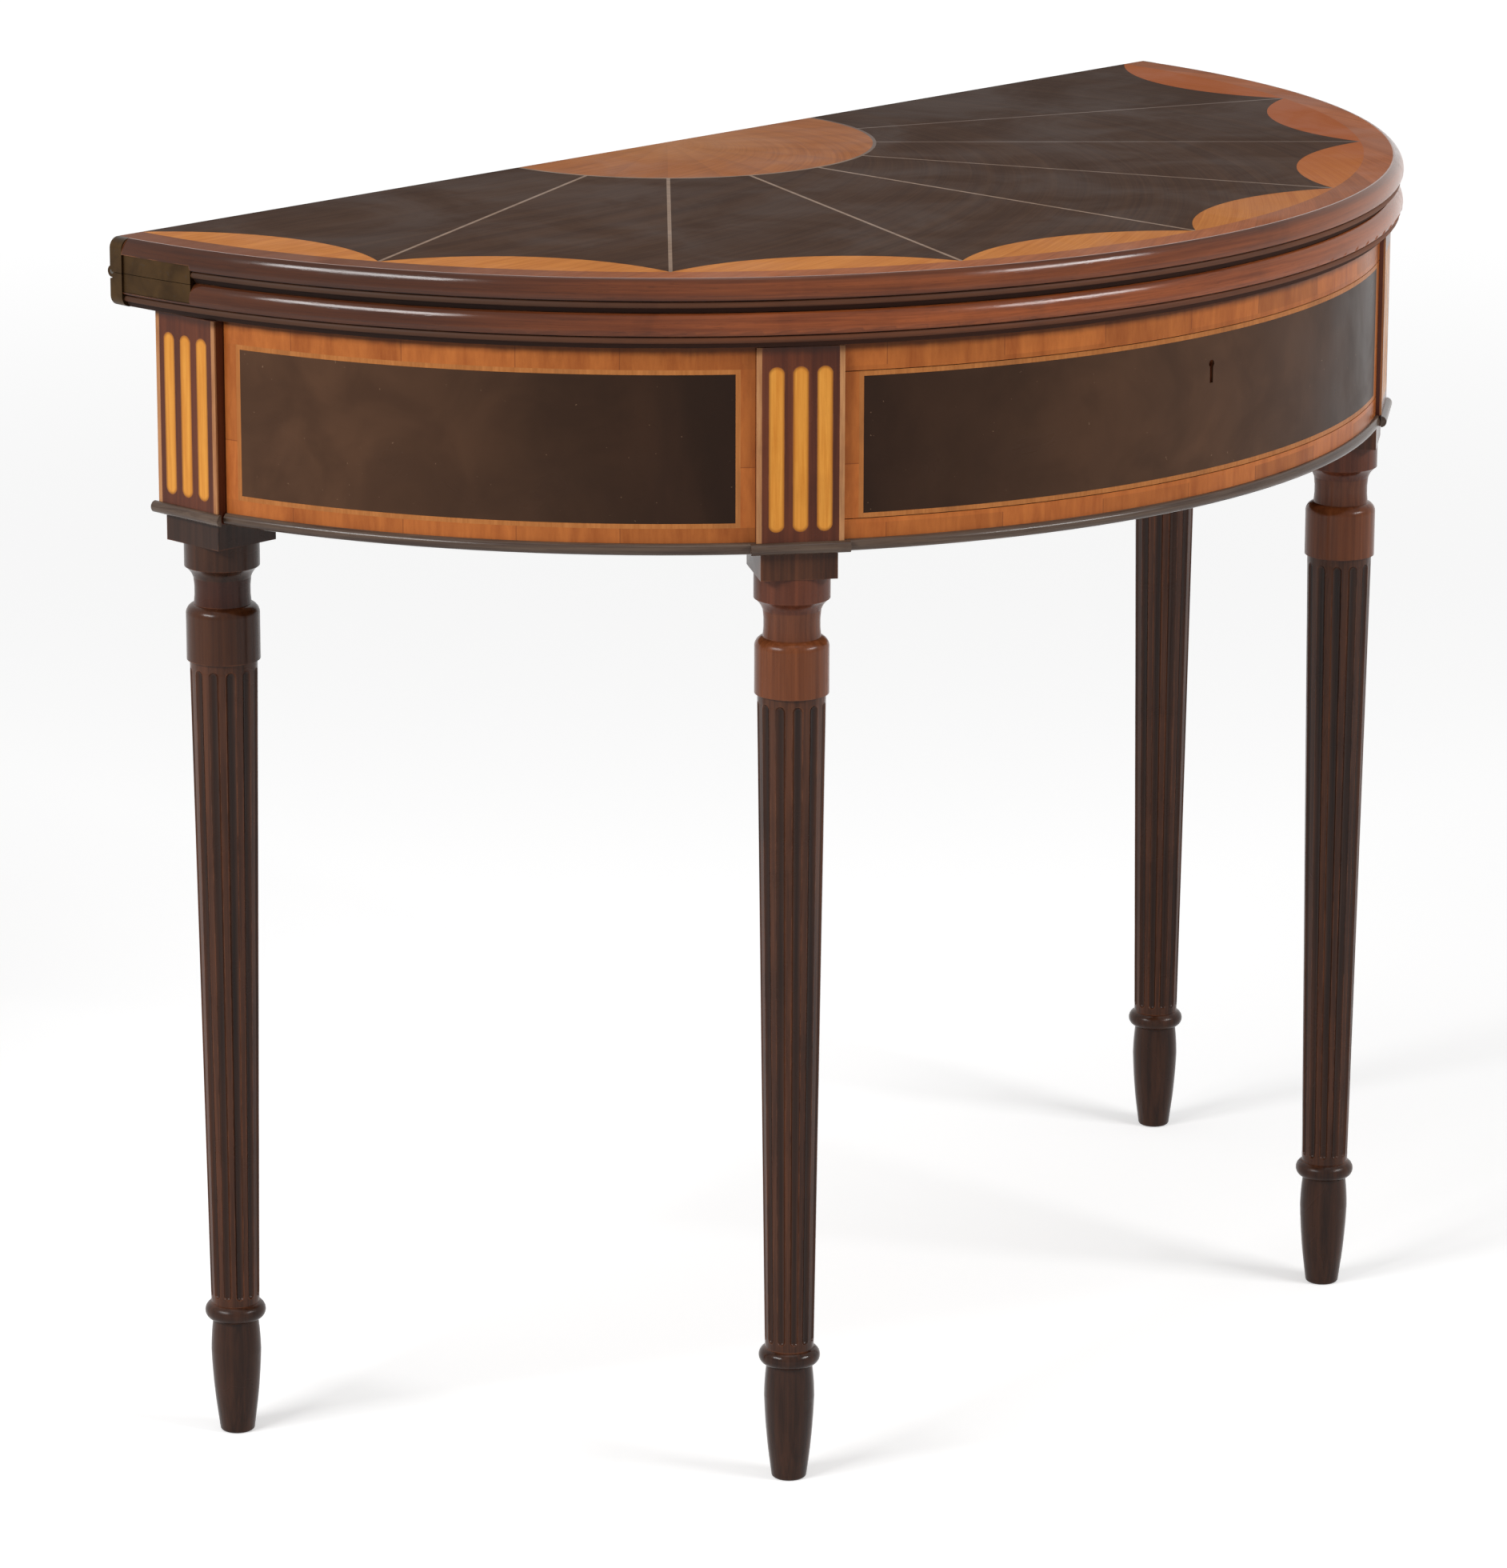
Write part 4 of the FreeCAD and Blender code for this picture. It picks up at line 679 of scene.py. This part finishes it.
def barShade(axis, turn):
    def paint(tree, place, colour, light):
        # Bars were dipped in hot sand, so that their sides and ends are scorched and they look round
        x, y, z = split(tree, place)
        aside = plus(tree, calc(tree, "ABSOLUTE", x), axis.x)
        ahead = minus(tree, y, axis.y)
        across = plus(tree, times(tree, aside, sin(turn)), times(tree, ahead, cos(turn)))
        off = calc(tree, "WRAP", across, barLook["pitch"] / 2, -barLook["pitch"] / 2)
        low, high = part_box("front_pilaster_bars")
        reach = calc(tree, "ABSOLUTE", minus(tree, z, (low.z + high.z) / 2))
        straight = (high.z - low.z) / 2 - barLook["half"]
        past = larger(tree, minus(tree, reach, straight), 0)
        out = diagonal(tree, off, past)
        scorch = rise(tree, out, barLook["core"], barLook["half"], 0, barLook["scorchShare"])
        return stain(tree, scorch, colour, barLook["scorch"])
    return paint


def legExtra(look, axis):
    def paint(tree, place, colour, light):
        x, y, z = split(tree, place)
        for turning, (low, high, share) in legTurnings.items():
            dark, pale = look[turning]
            wood = tint(tree, light, srgb(*dark), srgb(*pale))
            band = between(tree, z, low, high, legForm["turningSoft"])
            colour = tint(tree, times(tree, band, share), colour, wood)
        # Wax and dirt stay in the flutes, which are also painted darker as shade
        radius = diagonal(tree, minus(tree, x, axis.x), minus(tree, y, axis.y))
        taper = addNode(tree, "MapRange", {
            "Value": z, "From Min": legForm["shaftLow"], "From Max": legForm["shaftTop"],
            "To Min": legForm["shaftLowRadius"], "To Max": legForm["shaftTopRadius"]}).outputs[0]
        sunk = rise(tree, minus(tree, taper, radius), legForm["fluteFrom"], legForm["fluteDepth"])
        shaft = between(tree, z, legForm["shaftLow"], legForm["shaftTop"], legForm["shaftSoft"])
        dirtAndShade = times(tree, times(tree, sunk, shaft), legForm["dirtAndShadeShare"])
        colour = shadowUnderLeaf(tree, place, stain(tree, dirtAndShade, colour, legForm["fluteDirtAndShade"]))
        return rubArris(tree, place, colour, look)
    return paint


def sawnTop(tree, place):
    # The top of a leg head is bare sawn wood, which shows when the gate is out
    normal = tree.nodes.new("ShaderNodeNewGeometry").outputs["Normal"]
    height = split(tree, place)[2]
    matte = rise(tree, height, headTop - legForm["sawnDepth"], headTop, 0, legForm["sawnRough"])
    return normal, matte


def legAxis(leg):
    low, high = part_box(leg)
    return (low + high) / 2


for leg in ("front_leg_left", "front_leg_right", "rear_leg_left", "rear_leg_right"):
    look = rearLegLook if leg.startswith("rear") else legLook
    dress(woodFinish(leg.replace("_", " ") + " mahogany", look, legExtra(look, legAxis(leg)), sawnTop), leg)
frontAxis = legAxis("front_leg_left")
frontTurn = atan2(backEdge - frontAxis.y, -frontAxis.x)
dress(woodFinish("front pilaster satinwood", barLook, barShade(frontAxis, frontTurn)), "front_pilaster_bars")
dress(woodFinish("rear pilaster satinwood", barLook, barShade(legAxis("rear_leg_left"), 0)),
      "rear_left_pilaster_bars", "rear_right_pilaster_bars")
print("legs finished")


# Gates, drawer box and blocks: plain oak that the polish never reached

oakLook = {
    "run": "level", "coarse": 300, "stretch": 26, "seed": 15.0, "streak": 0.6,
    "dark": (112, 80, 52), "pale": (166, 128, 88), "pores": 0.7, "pore": (70, 46, 28),
    "gloss": 0.5, "dull": 0.7, "grime": 0.45, "bump": 0.5, "ior": 1.4,
}
drawerOakLook = {**oakLook, "run": "deep", "seed": 16.0}
blockOakLook = {**oakLook, "run": "arc", "seed": 17.0}
dress(woodFinish("rail oak", oakLook), "back_rail", "fly_rail_left", "fly_rail_right",
      "gate_hinge_block", "drawer_back", "drawer_bottom")
dress(woodFinish("drawer oak", drawerOakLook), "drawer_side_left", "drawer_side_right",
      "drawer_runners", "drawer_guides", "drawer_kickers", "drawer_stops")
dress(woodFinish("block oak", blockOakLook), "glue_blocks")
print("oak finished")


# Metal

brassLook = {
    "bright": (74, 55, 34), "dull": (58, 43, 28), "crust": (42, 30, 21), "gloss": 0.36, "rough": 0.5,
}
ironLook = {
    "bright": (120, 116, 110), "dull": (74, 70, 66), "crust": (70, 48, 34), "gloss": 0.38, "rough": 0.62,
}
tarnish = {
    "patch": {"scale": 70, "detail": 3, "roughness": 0.5, "distortion": 0.4}, "patchLimits": (0.3, 0.7),
    "crust": {"scale": 260, "detail": 4, "roughness": 0.65, "distortion": 0.8}, "crustLimits": (0.6, 0.74),
    "crustShare": 0.7, "bump": 0.2, "bumpDistance": 0.0002,
}


def metalFinish(name, look):
    material, tree, shader, place = startFinish(name)
    polish = useGroup(tree, oldPolish, {"Place": place, "Gloss": look["gloss"], "Dull": look["rough"]})
    patch = rise(tree, noise(tree, place, **tarnish["patch"]), *tarnish["patchLimits"])
    crust = rise(tree, noise(tree, place, **tarnish["crust"]), *tarnish["crustLimits"])
    colour = tint(tree, patch, srgb(*look["bright"]), srgb(*look["dull"]))
    colour = stain(tree, crust, colour, look["crust"])
    metal = minus(tree, 1, times(tree, crust, tarnish["crustShare"]))
    bump = addNode(tree, "Bump", {"Height": polish["Ripple"], "Strength": tarnish["bump"],
                                  "Distance": tarnish["bumpDistance"]})
    plug(tree, shader, {"Base Color": colour, "Metallic": metal, "Roughness": polish["Roughness"],
                        "Normal": bump.outputs[0]})
    return material


dress(metalFinish("hinge brass", brassLook), "upper_hinge_plates", "lower_hinge_plates",
      "upper_hinge_screws", "lower_hinge_screws", "lock_case", "lock_bolt")
dress(metalFinish("old iron", ironLook), "hinge_pins", "gate_pins", "top_screws")
print("metal finished")


# Studio: pale floor, two soft boxes either side of the camera, one overhead

studio = {
    "floorSize": 60, "floorTone": (232, 232, 232), "floorLift": 0.43,
    "sweepLift": 0.85, "sweepFrom": 0.9, "sweepTo": 5.5,
    "fill": 0.2, "backdrop": (255, 255, 255), "aim": (0, 0, 0.5),
    "left": {"place": (-3.1, 0.35, 2.25), "width": 1.7, "height": 0.6, "power": 82},
    "front": {"place": (1.05, -3.0, 2.25), "width": 1.5, "height": 0.5, "power": 66},
    "overhead": {"place": (-0.2, -0.1, 3.6), "width": 2.4, "height": 2.4, "power": 24},
}


def shownRays(tree):
    # Rays that show the background itself: straight from the camera, in a reflection or through glass
    path = tree.nodes.new("ShaderNodeLightPath").outputs
    seen = larger(tree, path["Is Camera Ray"], path["Is Glossy Ray"])
    return larger(tree, seen, path["Is Transmission Ray"])


def makeFloor():
    half = studio["floorSize"] / 2
    corners = [(-half, -half, 0), (half, -half, 0), (half, half, 0), (-half, half, 0)]
    mesh = bpy.data.meshes.new("studioFloor")
    mesh.from_pydata(corners, [], [(0, 1, 2, 3)])
    floor = bpy.data.objects.new("studioFloor", mesh)
    scene.collection.objects.link(floor)
    material = bpy.data.materials.new("studio floor")
    material.use_nodes = True
    tree = material.node_tree
    tree.nodes.remove(tree.nodes["Principled BSDF"])
    matte = addNode(tree, "BsdfDiffuse", {"Color": srgb(*studio["floorTone"])})
    # The floor sweeps up to plain white away from the table
    place = tree.nodes.new("ShaderNodeTexCoord").outputs["Object"]
    away = addNode(tree, "VectorMath", {0: place}, operation="LENGTH").outputs["Value"]
    sweep = rise(tree, away, studio["sweepFrom"], studio["sweepTo"], studio["floorLift"], studio["sweepLift"])
    glow = addNode(tree, "Emission", {"Strength": times(tree, shownRays(tree), sweep)})
    both = addNode(tree, "AddShader", {0: matte.outputs[0], 1: glow.outputs[0]})
    plug(tree, tree.nodes["Material Output"], {"Surface": both.outputs[0]})
    mesh.materials.append(material)


def makeLamp(name):
    setup = studio[name]
    lamp = bpy.data.lights.new(name + "Light", "AREA")
    lamp.shape = "RECTANGLE"
    lamp.size = setup["width"]
    lamp.size_y = setup["height"]
    lamp.energy = setup["power"]
    holder = bpy.data.objects.new(name + "Light", lamp)
    holder.location = setup["place"]
    aim = Vector(studio["aim"]) - holder.location
    holder.rotation_euler = aim.to_track_quat("-Z", "Y").to_euler()
    scene.collection.objects.link(holder)


def makeWorld():
    world = bpy.data.worlds.new("studio")
    world.use_nodes = True
    scene.world = world
    tree = world.node_tree
    limits = {"Value": shownRays(tree), "To Min": studio["fill"], "To Max": 1}
    strength = addNode(tree, "MapRange", limits).outputs[0]
    plug(tree, tree.nodes["Background"], {"Color": srgb(*studio["backdrop"]), "Strength": strength})


makeFloor()
for lampName in ("left", "front", "overhead"):
    makeLamp(lampName)
makeWorld()
print("studio lit")


# Camera, as the photograph was taken

cameraSetup = {
    "place": (-3.0523, -2.7988, 1.4647), "turn": 45.97, "tilt": 14.99, "roll": 0.12,
    "focalPixels": 8663.75, "imageHeight": 1960, "sensor": 36, "farClip": 100,
}


def makeCamera():
    lens = bpy.data.cameras.new("photoCamera")
    lens.sensor_width = cameraSetup["sensor"]
    lens.lens = cameraSetup["focalPixels"] * cameraSetup["sensor"] / cameraSetup["imageHeight"]
    lens.clip_end = cameraSetup["farClip"]
    camera = bpy.data.objects.new("photoCamera", lens)
    turn = Matrix.Rotation(radians(-cameraSetup["turn"]), 4, "Z")
    tilt = Matrix.Rotation(radians(90 - cameraSetup["tilt"]), 4, "X")
    roll = Matrix.Rotation(radians(cameraSetup["roll"]), 4, "Z")
    camera.matrix_world = Matrix.Translation(cameraSetup["place"]) @ turn @ tilt @ roll
    scene.collection.objects.link(camera)
    scene.camera = camera


makeCamera()
print("camera set")
